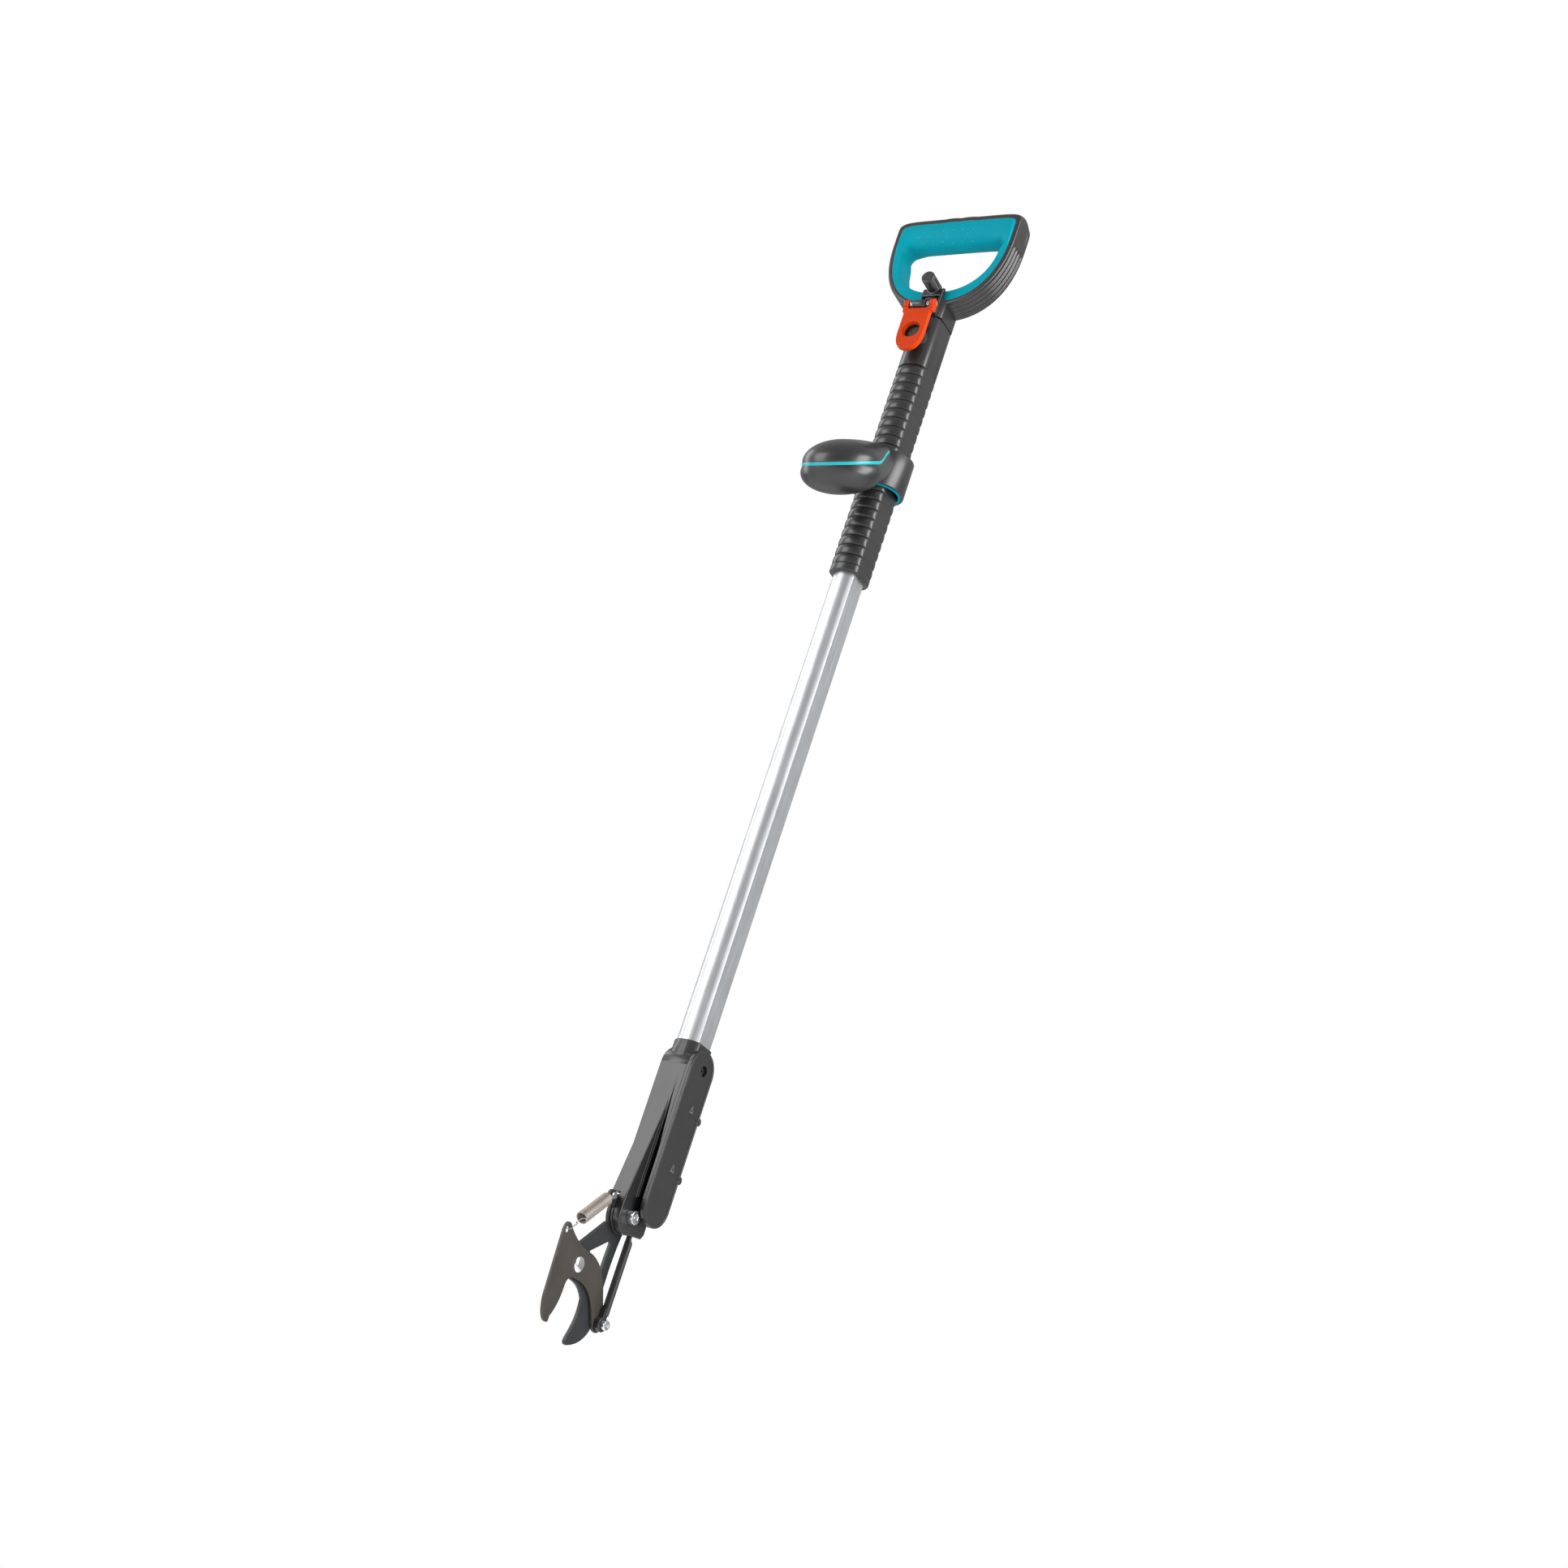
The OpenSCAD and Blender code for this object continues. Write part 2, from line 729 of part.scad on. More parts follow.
// One shell of the pod: side 1 is the upper shell, side -1 the lower one
module pod_shell(side) {
    rings = [
        for (y = pod_places)
            let (w = pod_width(y), z = part_line(y) + side * stripe_thick / 2)
            [for (p = side > 0 ? upper_half(w, crown(y)) : lower_half(w, belly(y))) [p[0], y, z + p[1]]]
    ];
    at_pod() skin(rings);
}

module ring_bore() {
    cylinder(r = ring_out_r, h = far * 2);
}

module pod_upper() {
    color("dimgray") difference() {
        pod_shell(1);
        ring_bore();
    }
}

module pod_lower() {
    color("dimgray") difference() {
        pod_shell(-1);
        ring_bore();
        at_pod() for (side = [-1, 1])
            translate([side * pod_screw_x, 0, -far])
                cylinder(r = pod_screw_head + 0.3, h = far - pod_screw_depth);
    }
}

module pod_stripe() {
    half = stripe_thick / 2;
    rings = [
        for (y = pod_places)
            let (w = pod_width(y) + stripe_proud, z = part_line(y))
            [[w, y, z - half], [w, y, z + half], [-w, y, z + half], [-w, y, z - half]]
    ];
    color("turquoise") difference() {
        at_pod() skin(rings);
        ring_bore();
    }
}

module pod_screws() {
    color("gainsboro") at_pod() for (side = [-1, 1])
        translate([side * pod_screw_x, 0, -pod_screw_depth - 2.2]) cylinder(r = pod_screw_head, h = 2.2);
}

// Round ring about the pole between two tilted planes
module tilted_ring(inner, outer, height) {
    translate([0, 0, ring_z]) difference() {
        translate([0, 0, -height]) cylinder(r = outer, h = 2 * height);
        translate([0, 0, -height - over]) cylinder(r = inner, h = 2 * height + 2 * over);
        rotate([ring_tilt, 0, 0]) {
            block([-far, -far, height / 2], [far, far, far]);
            block([-far, -far, -far], [far, far, -height / 2]);
        }
    }
}

module pod_ring() {
    color("dimgray") tilted_ring(ring_mid_r, ring_out_r, ring_height);
}

module ring_liner() {
    color("darkcyan") tilted_ring(ring_in_r, ring_mid_r, ring_height + 2 * liner_proud);
}

// Outline of the cover, drawn as [Y, Z], made smaller all round by inset
module cover_outline(inset) {
    r = cover_r - inset;
    translate([cover_y, cover_top - cover_r]) circle(r = r);
    translate([cover_y, cover_low + cover_r]) circle(r = r);
    translate([cover_y - r, cover_low + cover_r]) square([2 * r, cover_length - 2 * cover_r]);
}

// Outline of the tongue that carries the hub
module tongue_outline() {
    translate([hub_y, hub_z]) circle(r = tongue_r);
    translate([hub_y, hub_z]) polygon(
        [[-1, 112], [-tongue_r + 0.6, 17], [-tongue_r, 8], [-tongue_r, 0], [0, -tongue_r + 0.6],
         [26, -12], [29, -7], [28, 20], [12, 60], [8, 112]]);
}

module housing_body() {
    color("dimgray") difference() {
        union() {
            along_x(body_left, body_right) cover_outline(0.6);
            along_x(tongue_left, wall_out) tongue_outline();
            translate([0, 0, collar_top - collar_skirt]) linear_extrude(collar_skirt)
                section(tube_flat + 2 * collar_wall, tube_round + 2 * collar_wall);
        }
        translate([0, 0, tube_low]) linear_extrude(far)
            section(tube_flat + 2 * snug, tube_round + 2 * snug);
        translate([0, 0, tube_low - 2 * wall]) linear_extrude(far)
            section(tube_in_flat, tube_in_round);
        block([body_left + wall, cover_y - cover_r + wall, cavity_low],
              [cavity_right, cover_y + cover_r - wall - 0.6, cavity_top]);
        block([wall_out, -far, cavity_low - 60],
              [body_right + over, cover_y + cover_r - wall - 0.6, cavity_low]);
        along_y(-far, cover_y) polygon([[slot_left, cover_top - 50], [body_right + over, cover_top - 125],
            [body_right + over, cover_low - over], [wall_out, cover_low - over], [wall_out, cavity_low],
            [slot_left, cavity_low]]);
        bar_x(-far, disc_out + layer_gap / 2, hub_y, hub_z, head_clear);
        intersection() {
            bar_x(-far, disc_out + layer_gap / 2, hub_y, hub_z, head_room);
            block([-far, -far, hub_z - far], [far, far, panel_low]);
        }
        bar_x(disc_out, wall_in, hub_y, hub_z, roller_r + 0.8);
        block([disc_out, strap_y - 4, cavity_low - 60], [wall_in, far, cavity_low + 4]);
        bar_x(-far, far, hub_y, hub_z, hub_r + snug);
        bar_x(body_left + 2, far, tube_screw_y, tube_screw_z, tube_screw_r + snug);
        bar_x(screw_seat, far, tube_screw_y, tube_screw_z, screw_well_r);
        bar_x(body_left + over, far, dead_y, anchor_z, anchor_r);
    }
}

module housing_cover() {
    mark = [[0, 1], [-0.4, 0], [0.4, 0]];
    rib_end = cover_y + cover_r - rim_w / 2;
    color("gray") difference() {
        union() {
            along_x(body_right, cover_out - rim_h) cover_outline(0);
            along_x(cover_out - rim_h - over / 2, cover_out) difference() {
                cover_outline(0);
                cover_outline(rim_w);
            }
            for (z = [hook_z1, hook_z2]) {
                intersection() {
                    union() {
                        bar_x(body_right - 7, cover_out - 1, cover_y + cover_r + hook_out, z, hook_bump);
                        block([body_right - 7, cover_y, z - hook_bump],
                              [cover_out - 1, cover_y + cover_r + hook_out, z + hook_bump]);
                    }
                    block([-far, cover_y + cover_r - 0.6, -far * 2], [far, far, far]);
                }
                along_x(cover_out - rim_h - over / 2, cover_out - rim_h + mark_line) {
                    translate([cover_y + 3, z + 2]) difference() {
                        polygon(mark_size * mark);
                        translate([0, mark_size * 0.17]) polygon(mark_size * 0.5 * mark);
                    }
                    polygon([[cover_y + 4.6, z + 2.5 - mark_rib], [cover_y + 4.6, z + 2.5],
                             [rib_end, z + mark_rib / 2], [rib_end, z - mark_rib / 2]]);
                }
            }
        }
        bar_x(0, far, tube_screw_y, tube_screw_z, screw_well_r);
    }
}

module tube_screw() {
    color("gainsboro") difference() {
        union() {
            bar_x(body_left + 3, screw_seat + over, tube_screw_y, tube_screw_z, tube_screw_r);
            bar_x(screw_seat, screw_seat + 2.4, tube_screw_y, tube_screw_z, screw_well_r - 0.6);
        }
        bar_x(screw_seat + 0.9, far, tube_screw_y, tube_screw_z, 1.8, $fn = 6);
    }
}

module anchor_pin() {
    color("gainsboro") bar_x(body_left + over, body_right, dead_y, anchor_z, anchor_r);
}

module hub_screw() {
    color("gainsboro") difference() {
        union() {
            bar_x(knob_out - knob_thick + over, wall_out + over, hub_y, hub_z, hub_r);
            bar_x(wall_out, wall_out + 6.2, hub_y, hub_z, hub_r + 3);
        }
        bar_x(wall_out + 2.6, far, hub_y, hub_z, 3, $fn = 6);
    }
}

module tackle_block() {
    color("gray") difference() {
        union() {
            for (low = [-cheek_in - cheek_t, cheek_in]) {
                bar_x(strap_x + low, strap_x + low + cheek_t, strap_y, block_z, block_half);
                block([strap_x + low, strap_y - block_half, bridge_low],
                      [strap_x + low + cheek_t, strap_y + block_half, block_z]);
            }
            block([strap_x - cheek_in - over, strap_y - block_half, bridge_low],
                  [strap_x + cheek_in + over, strap_y + block_half, bridge_top]);
        }
        block([strap_x - strap_w / 2 - snug, strap_y - strap_t / 2 - snug, bridge_low - over],
              [strap_x + strap_w / 2 + snug, strap_y + strap_t / 2 + snug, bridge_top + over]);
        bar_x(-far, far, strap_y, block_z, axle_r);
        bar_y(strap_y - far, strap_y + far, strap_x, bridge_low + bridge_h / 2, block_screw_r);
    }
}

module block_axle() {
    half = cheek_in + cheek_t;
    color("gainsboro") bar_x(strap_x - half, strap_x + half, strap_y, block_z, axle_r);
}

module block_screw() {
    color("gainsboro") bar_y(strap_y - block_half - 0.8, strap_y + block_half + 0.8, strap_x,
        bridge_low + bridge_h / 2, block_screw_r);
}

module block_pulley() {
    color("white") difference() {
        union() {
            bar_x(strap_x - pulley_half, strap_x + pulley_half, strap_y, block_z, pulley_r);
            for (low = [-pulley_half, pulley_half - flange_t])
                bar_x(strap_x + low, strap_x + low + flange_t, strap_y, block_z, flange_r);
        }
        bar_x(-far, far, strap_y, block_z, axle_r + snug);
    }
}

module hub_roller() {
    color("white") difference() {
        bar_x(disc_out + layer_gap, wall_in - layer_gap, hub_y, hub_z, roller_r);
        bar_x(-far, far, hub_y, hub_z, hub_r + snug);
    }
}

module hub_disc() {
    reach = norm(lug);
    color("dimgray") difference() {
        union() {
            bar_x(disc_in, disc_out, hub_y, hub_z, disc_r);
            at_hub() along_x(disc_in, disc_out) union() {
                translate(lug) circle(r = lug_r);
                rotate(atan2(lug[1], lug[0])) translate([0, -lug_r]) square([reach, 2 * lug_r]);
            }
        }
        bar_x(-far, far, hub_y, hub_z, hub_r + snug);
        at_hub() bar_x(-far, far, lug[0], lug[1], post_r);
        disc_rivets_solid();
    }
}

module disc_rivets_solid() {
    for (angle = [50, 170, 290])
        at_hub() bar_x(plate_in, disc_out - 0.3, 11 * cos(angle), 11 * sin(angle), 1.5);
}

module disc_rivets() {
    color("gainsboro") disc_rivets_solid();
}

// Steel side plate with the fixed hook, drawn as [Y, Z] from the hub
module hook_outline() {
    difference() {
        union() {
            circle(r = disc_r + 1.6);
            translate(pivot) circle(r = 13.5);
            polygon(concat(
                [[-16, -11], [-42, -37.6], [-47, -46], [-44, -68]],
                bend([-36, -69.5], [-23, -69.5], [-14.5, -79], 6),
                bend([-14.5, -79], [-11, -94], [-17, -109.5], 6),
                bend([-17, -109.5], [-21, -118.6], [-15, -118.8], 5),
                bend([-15, -118.8], [2, -114.6], [9.4, -102.4], 8),
                bend([9.4, -102.4], [13.2, -96], [11.4, -88], 6),
                bend([11.4, -88], [11, -72], [10.4, -55], 3),
                bend([10.4, -55], [9.4, -32], [13, -11.6], 6),
                [[13, -11.6]]));
        }
        polygon(concat(
            [[-25.5, -40.5]],
            bend([-3.4, -25], [0.2, -23.4], [0, -28], 4),
            bend([-0.8, -49], [-1, -53], [-4, -51.4], 4),
            [[-4, -51.4]]));
        circle(r = hub_r + snug);
        translate(pivot) circle(r = pivot_r);
    }
}

module hook_plate() {
    color("slategray") difference() {
        at_hub() along_x(plate_in, plate_out) hook_outline();
        disc_rivets_solid();
    }
}

// Moving blade with its lever and horn, drawn as [Y, Z] from the hub
function blade_outline() = concat(
    bend([-74, -36], [-73.4, -28.6], [-68.6, -28.6], 4),
    bend([-68.6, -28.6], [-66, -28.6], [-62.4, -32.2], 3),
    bend([-62.4, -32.2], [-46, -42], [-28.8, -41.9], 6),
    bend([-28.8, -41.9], [-4, -42], [11.6, -70.3], 8),
    [[11.6, -70.3], [eye[0] + 7, eye[1] + 4], [eye[0] - 7, eye[1] - 4]],
    bend([3.3, -87.7], [-10, -66], [-34, -67.2], 8),
    bend([-34, -67.2], [-47, -67], [-47.6, -75], 6),
    bend([-47.6, -75], [-47, -93], [-54, -104.4], 6),
    [[-54, -104.4]],
    bend([-54, -109.5], [-60, -112.6], [-66, -103.7], 6),
    bend([-66, -103.7], [-70.4, -94], [-70.2, -90.7], 3),
    [[-70.2, -90.7]]
);

module cutting_blade() {
    color("dimgray") at_hub() difference() {
        union() {
            along_x(blade_in, blade_out) polygon(blade_outline());
            bar_x(blade_in, blade_out, eye[0], eye[1], eye_boss_r);
        }
        bar_x(-far, far, pivot[0], pivot[1], pivot_r + snug);
        bar_x(-far, far, horn[0], horn[1], horn_hole_r);
        bar_x(-far, far, eye[0], eye[1], eye_pin_r);
    }
}

module pivot_bolt() {
    color("gainsboro") at_hub() translate([0, pivot[0], pivot[1]]) {
        bar_x(plate_in - 5, blade_out + over, 0, 0, pivot_r);
        translate([blade_out + 0.1, 0, 0]) rotate([0, 90, 0]) rotate_extrude() polygon(concat(
            [[0, 0], [bolt_head_r, 0]],
            power_arc(bolt_head_r, bolt_dome, 2, 10, 80, 7), [[0, bolt_dome]]));
    }
}

module pivot_nut() {
    color("gray") at_hub() translate([0, pivot[0], pivot[1]]) difference() {
        bar_x(plate_in - 4.4, plate_in, 0, 0, 6.4, $fn = 6);
        bar_x(-far, far, 0, 0, pivot_r);
    }
}

module eye_screw() {
    out = strap_x + eye_w / 2 + layer_gap;
    color("gainsboro") at_hub() translate([0, eye[0], eye[1]]) difference() {
        union() {
            bar_x(blade_in, out + over, 0, 0, eye_pin_r);
            bar_x(out, out + 4.2, 0, 0, eye_pin_r + 1.7);
        }
        bar_x(out + 2, far, 0, 0, 1.9, $fn = 6);
    }
}

module strap_eye() {
    low = strap_x - eye_w / 2;
    color("dimgray") at_hub() translate([0, eye[0], eye[1]]) difference() {
        union() {
            bar_x(low, low + eye_w, 0, 0, eye_r);
            block([low, -neck_half, 0], [low + eye_w, neck_half, neck_top]);
        }
        bar_x(-far, far, 0, 0, eye_pin_r + snug);
        block([strap_x - strap_w / 2, -strap_t / 2, eye_r + 1.4], [strap_x + strap_w / 2, strap_t / 2, far]);
    }
}

module lower_strap() {
    color("black") difference() {
        block([strap_x - strap_w / 2, strap_y - strap_t / 2, hub_z + eye[1] + eye_r + 1.4],
              [strap_x + strap_w / 2, strap_y + strap_t / 2, bridge_top - 0.4]);
        bar_y(strap_y - far, strap_y + far, strap_x, bridge_low + bridge_h / 2, block_screw_r);
    }
}

module spring_post() {
    color("gainsboro") at_hub() {
        bar_x(disc_in, disc_out + spring_wire + 0.9, lug[0], lug[1], post_r);
        bar_x(disc_out + spring_wire + 0.7, disc_out + spring_wire + 1.6, lug[0], lug[1], post_r + 1.2);
    }
}

// Frame with Z along the return spring, from the post to the horn
module at_spring() {
    at_hub() translate([spring_x, lug[0], lug[1]]) rotate([spring_angle - 90, 0, 0]) children();
}

module return_spring() {
    path = coil_path(mean_r, spring_pitch, spring_turns, spring_wire);
    last = path[len(path) - 1];
    eyelet_r = post_r + 0.3 + spring_wire / 2;
    eyelet_x = disc_out + 0.35 + spring_wire / 2 - spring_x;
    lead_in = concat(
        [for (i = [0 : 8])
            let (a = 250 - 28 * i)
            [eyelet_x, eyelet_r * sin(a), eyelet_r * cos(a) - coil_start]],
        [[(eyelet_x + mean_r) / 2, -spring_wire * 0.4, eyelet_r - coil_start + 1.8]]);
    lead_out = [[last[0] * 0.5, last[1] * 0.5, last[2] + 1.4], [0, 0, last[2] + spring_tail - 1],
                [0, 0, last[2] + spring_tail]];
    echo(return_spring_gap = coil_gap(path, spring_wire));
    color("gainsboro") at_spring() translate([0, 0, coil_start])
        wire(concat(lead_in, path, lead_out), spring_wire);
}

// Hook that joins the return spring to the horn: it runs beside the blade and turns in through the hole
module spring_hook() {
    low = coil_start + spring_turns * spring_pitch + spring_tail + hook_gap;
    end = spring_len - hook_back;
    side = blade_t / 2 + spring_wire / 2 + 0.35;
    path = [[0, low], [0, low + 0.4], [side, low + 1.8], [side, end], [-side, end]];
    color("gainsboro") at_spring() for (i = [0 : len(path) - 2]) {
        step = path[i + 1] - path[i];
        translate([path[i][0], 0, path[i][1]]) {
            rotate([0, atan2(step[0], step[1]), 0]) cylinder(d = spring_wire, h = norm(step));
            if (i > 0) sphere(d = spring_wire + 0.12);
        }
    }
}

module hub_knob() {
    color("dimgray") difference() {
        union() {
            bar_x(knob_out - knob_thick, knob_out, hub_y, hub_z, 8);
            bar_x(knob_out - 1.2, knob_out, hub_y, hub_z, 9);
        }
        for (i = [0 : 11])
            at_hub() bar_x(-far, knob_out - 1.2, 8.6 * cos(30 * i), 8.6 * sin(30 * i), 1.2);
        bar_x(-far, far, hub_y, hub_z, hub_r + snug);
    }
}

pole_tube();
grip_sleeve();
hasp_bracket();
hasp_springs();
housing_body();
housing_cover();
tube_screw();
anchor_pin();
hub_screw();
handle_frame();
handle_grip();
handle_stem();
lock_post();
stem_screws();
strap_pin();
upper_strap();
lock_hasp();
hasp_pin();
pod_upper();
pod_lower();
pod_stripe();
pod_ring();
ring_liner();
pod_screws();
tackle_block();
block_axle();
block_screw();
block_pulley();
hub_roller();
hub_disc();
hook_plate();
disc_rivets();
spring_post();
pivot_nut();
pivot_bolt();
cutting_blade();
eye_screw();
strap_eye();
lower_strap();
return_spring();
spring_hook();
hub_knob();
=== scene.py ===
import json
import math

import bmesh
import bpy
import numpy as np
from mathutils import Matrix, Vector


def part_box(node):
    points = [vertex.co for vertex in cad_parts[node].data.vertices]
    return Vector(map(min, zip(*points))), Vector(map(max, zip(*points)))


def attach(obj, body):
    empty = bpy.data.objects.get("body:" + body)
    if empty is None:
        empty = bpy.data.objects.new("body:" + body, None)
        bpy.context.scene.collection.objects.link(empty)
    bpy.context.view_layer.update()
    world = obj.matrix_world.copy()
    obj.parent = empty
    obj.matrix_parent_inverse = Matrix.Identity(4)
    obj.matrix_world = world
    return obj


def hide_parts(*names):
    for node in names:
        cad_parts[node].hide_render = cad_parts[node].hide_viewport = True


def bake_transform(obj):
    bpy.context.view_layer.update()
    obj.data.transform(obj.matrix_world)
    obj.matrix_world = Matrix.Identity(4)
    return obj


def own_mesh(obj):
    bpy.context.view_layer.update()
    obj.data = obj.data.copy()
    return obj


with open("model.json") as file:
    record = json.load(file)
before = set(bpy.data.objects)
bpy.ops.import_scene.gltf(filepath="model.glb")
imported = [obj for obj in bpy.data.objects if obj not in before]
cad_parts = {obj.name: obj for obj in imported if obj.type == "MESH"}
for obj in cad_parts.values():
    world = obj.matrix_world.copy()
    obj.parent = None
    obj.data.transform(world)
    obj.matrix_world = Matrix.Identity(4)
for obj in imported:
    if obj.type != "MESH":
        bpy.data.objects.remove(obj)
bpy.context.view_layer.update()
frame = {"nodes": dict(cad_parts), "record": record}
scene = bpy.context.scene
MM = 0.001
FULL_TURN = 2.0 * math.pi
RECORD = frame["record"]
JOINTS = {joint["name"]: joint for joint in RECORD["behaviour"]["joints"]}


def box_mm(node):
    """Lowest and highest corner of a solid, in millimetres."""
    low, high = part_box(node)
    return np.array(low) / MM, np.array(high) / MM


def joint_mm(name):
    """Place of a hinge, in millimetres."""
    return np.array(JOINTS[name]["pos_m"]) / MM


# Materials
EVEN = (1.0, 1.0, 1.0)
NOISE_DETAIL = 4.0
NOISE_ROUGH = 0.55
NOISE_LOW = 0.3
NOISE_HIGH = 0.7
GRAIN_DETAIL = 2.0
BUMP_DEPTH = 0.0002
COAT_ROUGH = 0.22
WEAVE_SCALE = 420.0
WEAVE_WOBBLE = 0.6
WEAVE_GRAIN = 900.0
WEAVE_VARY = 0.08
WEAVE_BUMP = 0.25


def surface_shader(material):
    return next(node for node in material.node_tree.nodes if node.type == "BSDF_PRINCIPLED")


def new_material(name):
    material = bpy.data.materials.new(name)
    material.use_nodes = True
    return material, material.node_tree, surface_shader(material)


def stretched(tree, stretch):
    """Object coordinates, pulled out along the axes with a small factor."""
    coords = tree.nodes.new("ShaderNodeTexCoord")
    mapping = tree.nodes.new("ShaderNodeMapping")
    mapping.inputs["Scale"].default_value = stretch
    tree.links.new(coords.outputs["Object"], mapping.inputs["Vector"])
    return mapping.outputs["Vector"]


def noise(tree, scale, detail=NOISE_DETAIL, stretch=EVEN):
    node = tree.nodes.new("ShaderNodeTexNoise")
    node.inputs["Scale"].default_value = scale
    node.inputs["Detail"].default_value = detail
    node.inputs["Roughness"].default_value = NOISE_ROUGH
    tree.links.new(stretched(tree, stretch), node.inputs["Vector"])
    return node.outputs["Fac"]


def spread(tree, source, low, high):
    """Noise turned into the range from low to high."""
    node = tree.nodes.new("ShaderNodeMapRange")
    node.inputs["From Min"].default_value = NOISE_LOW
    node.inputs["From Max"].default_value = NOISE_HIGH
    node.inputs["To Min"].default_value = low
    node.inputs["To Max"].default_value = high
    tree.links.new(source, node.inputs["Value"])
    return node.outputs["Result"]


def mix_colour(tree, factor, dark, light):
    node = tree.nodes.new("ShaderNodeMix")
    node.data_type = "RGBA"
    node.inputs["A"].default_value = (*dark, 1.0)
    node.inputs["B"].default_value = (*light, 1.0)
    tree.links.new(factor, node.inputs["Factor"])
    return node.outputs["Result"]


def add_bump(tree, shader, height, strength):
    node = tree.nodes.new("ShaderNodeBump")
    node.inputs["Strength"].default_value = strength
    node.inputs["Distance"].default_value = BUMP_DEPTH
    tree.links.new(height, node.inputs["Height"])
    tree.links.new(node.outputs["Normal"], shader.inputs["Normal"])


def make(name, dark, light, rough, metal=0.0, grain=900.0, bump=0.12, cloud=30.0, coat=0.0,
         specular=0.5, stretch=EVEN, vary=0.05):
    """A moulded, coated or brushed surface: cloudy colour, grainy gloss and a fine bump."""
    material, tree, shader = new_material(name)
    broad = noise(tree, cloud)
    fine = noise(tree, grain, GRAIN_DETAIL, stretch)
    shade = spread(tree, broad, 0.0, 1.0)
    gloss = spread(tree, fine, rough - vary, rough + vary)
    tree.links.new(mix_colour(tree, shade, dark, light), shader.inputs["Base Color"])
    tree.links.new(gloss, shader.inputs["Roughness"])
    shader.inputs["Metallic"].default_value = metal
    shader.inputs["Specular IOR Level"].default_value = specular
    shader.inputs["Coat Weight"].default_value = coat
    shader.inputs["Coat Roughness"].default_value = COAT_ROUGH
    add_bump(tree, shader, fine, bump)
    return material


def make_webbing(name, dark, light, rough):
    """Woven strap: two crossed waves give the threads."""
    material, tree, shader = new_material(name)
    weave = tree.nodes.new("ShaderNodeMath")
    weave.operation = "MULTIPLY"
    for side, axis in enumerate(("X", "Z")):
        wave = tree.nodes.new("ShaderNodeTexWave")
        wave.bands_direction = axis
        wave.inputs["Scale"].default_value = WEAVE_SCALE
        wave.inputs["Distortion"].default_value = WEAVE_WOBBLE
        tree.links.new(stretched(tree, EVEN), wave.inputs["Vector"])
        tree.links.new(wave.outputs["Fac"], weave.inputs[side])
    threads = weave.outputs["Value"]
    gloss = spread(tree, noise(tree, WEAVE_GRAIN), rough - WEAVE_VARY, rough + WEAVE_VARY)
    tree.links.new(mix_colour(tree, threads, dark, light), shader.inputs["Base Color"])
    tree.links.new(gloss, shader.inputs["Roughness"])
    add_bump(tree, shader, threads, WEAVE_BUMP)
    return material


FINISHES = {
    "tube_aluminium": dict(dark=(0.49, 0.505, 0.52), light=(0.56, 0.575, 0.59), rough=0.42,
                           metal=1.0, grain=900.0, bump=0.05, stretch=(1.0, 1.0, 0.02)),
    "anthracite": dict(dark=(0.011, 0.011, 0.012), light=(0.015, 0.015, 0.016), rough=0.37,
                       grain=2200.0, bump=0.06, coat=0.25),
    "teal_grip": dict(dark=(0.0, 0.238, 0.308), light=(0.0, 0.265, 0.335), rough=0.50,
                      grain=1800.0, bump=0.12, specular=0.06),
    "teal_stripe": dict(dark=(0.003, 0.31, 0.36), light=(0.005, 0.35, 0.40), rough=0.30,
                        grain=1500.0, bump=0.05, specular=0.4),
    "orange_plastic": dict(dark=(0.47, 0.034, 0.0014), light=(0.53, 0.039, 0.0018), rough=0.38,
                           grain=1900.0, bump=0.08, specular=0.12),
    "inner_plastic": dict(dark=(0.090, 0.090, 0.092), light=(0.110, 0.110, 0.112), rough=0.50,
                          grain=1500.0, bump=0.10),
    "dark_steel": dict(dark=(0.016, 0.017, 0.018), light=(0.022, 0.023, 0.024), rough=0.40,
                       metal=0.20, grain=2400.0, bump=0.12),
    "coated_blade": dict(dark=(0.037, 0.032, 0.027), light=(0.047, 0.041, 0.035), rough=0.40,
                         metal=0.20, grain=2000.0, bump=0.10, stretch=(1.0, 0.1, 1.0)),
    "zinc": dict(dark=(0.62, 0.64, 0.66), light=(0.78, 0.80, 0.82), rough=0.24,
                 metal=1.0, grain=1400.0, bump=0.08, cloud=120.0),
    "nickel": dict(dark=(0.30, 0.265, 0.24), light=(0.36, 0.32, 0.29), rough=0.55,
                   metal=1.0, grain=1400.0, bump=0.02, cloud=60.0, vary=0.02),
    "bright_bolt": dict(dark=(0.78, 0.78, 0.80), light=(0.90, 0.90, 0.92), rough=0.16,
                        metal=1.0, grain=1200.0, bump=0.04, cloud=160.0),
}
SLOTS = {name: make(name, **finish) for name, finish in FINISHES.items()}
SLOTS["strap_black"] = make_webbing("strap_black", dark=(0.016, 0.016, 0.017),
                                    light=(0.022, 0.022, 0.023), rough=0.50)

node_slot = {part["node"]: part["material_slot"] for part in RECORD["subparts"]}
for name, obj in frame["nodes"].items():
    obj.data.materials.clear()
    obj.data.materials.append(SLOTS[node_slot[name]])


# Pieces, with their sizes in millimetres
MERGE_GAP = 0.001
WIRE_SIDES = 10
# A direction that no wire starts along
OFF_AXIS = (0.123, 0.077, 0.989)


def ease(t):
    """A share from 0 to 1 that starts and ends gently."""
    t = np.clip(t, 0.0, 1.0)
    return t * t * (3.0 - 2.0 * t)


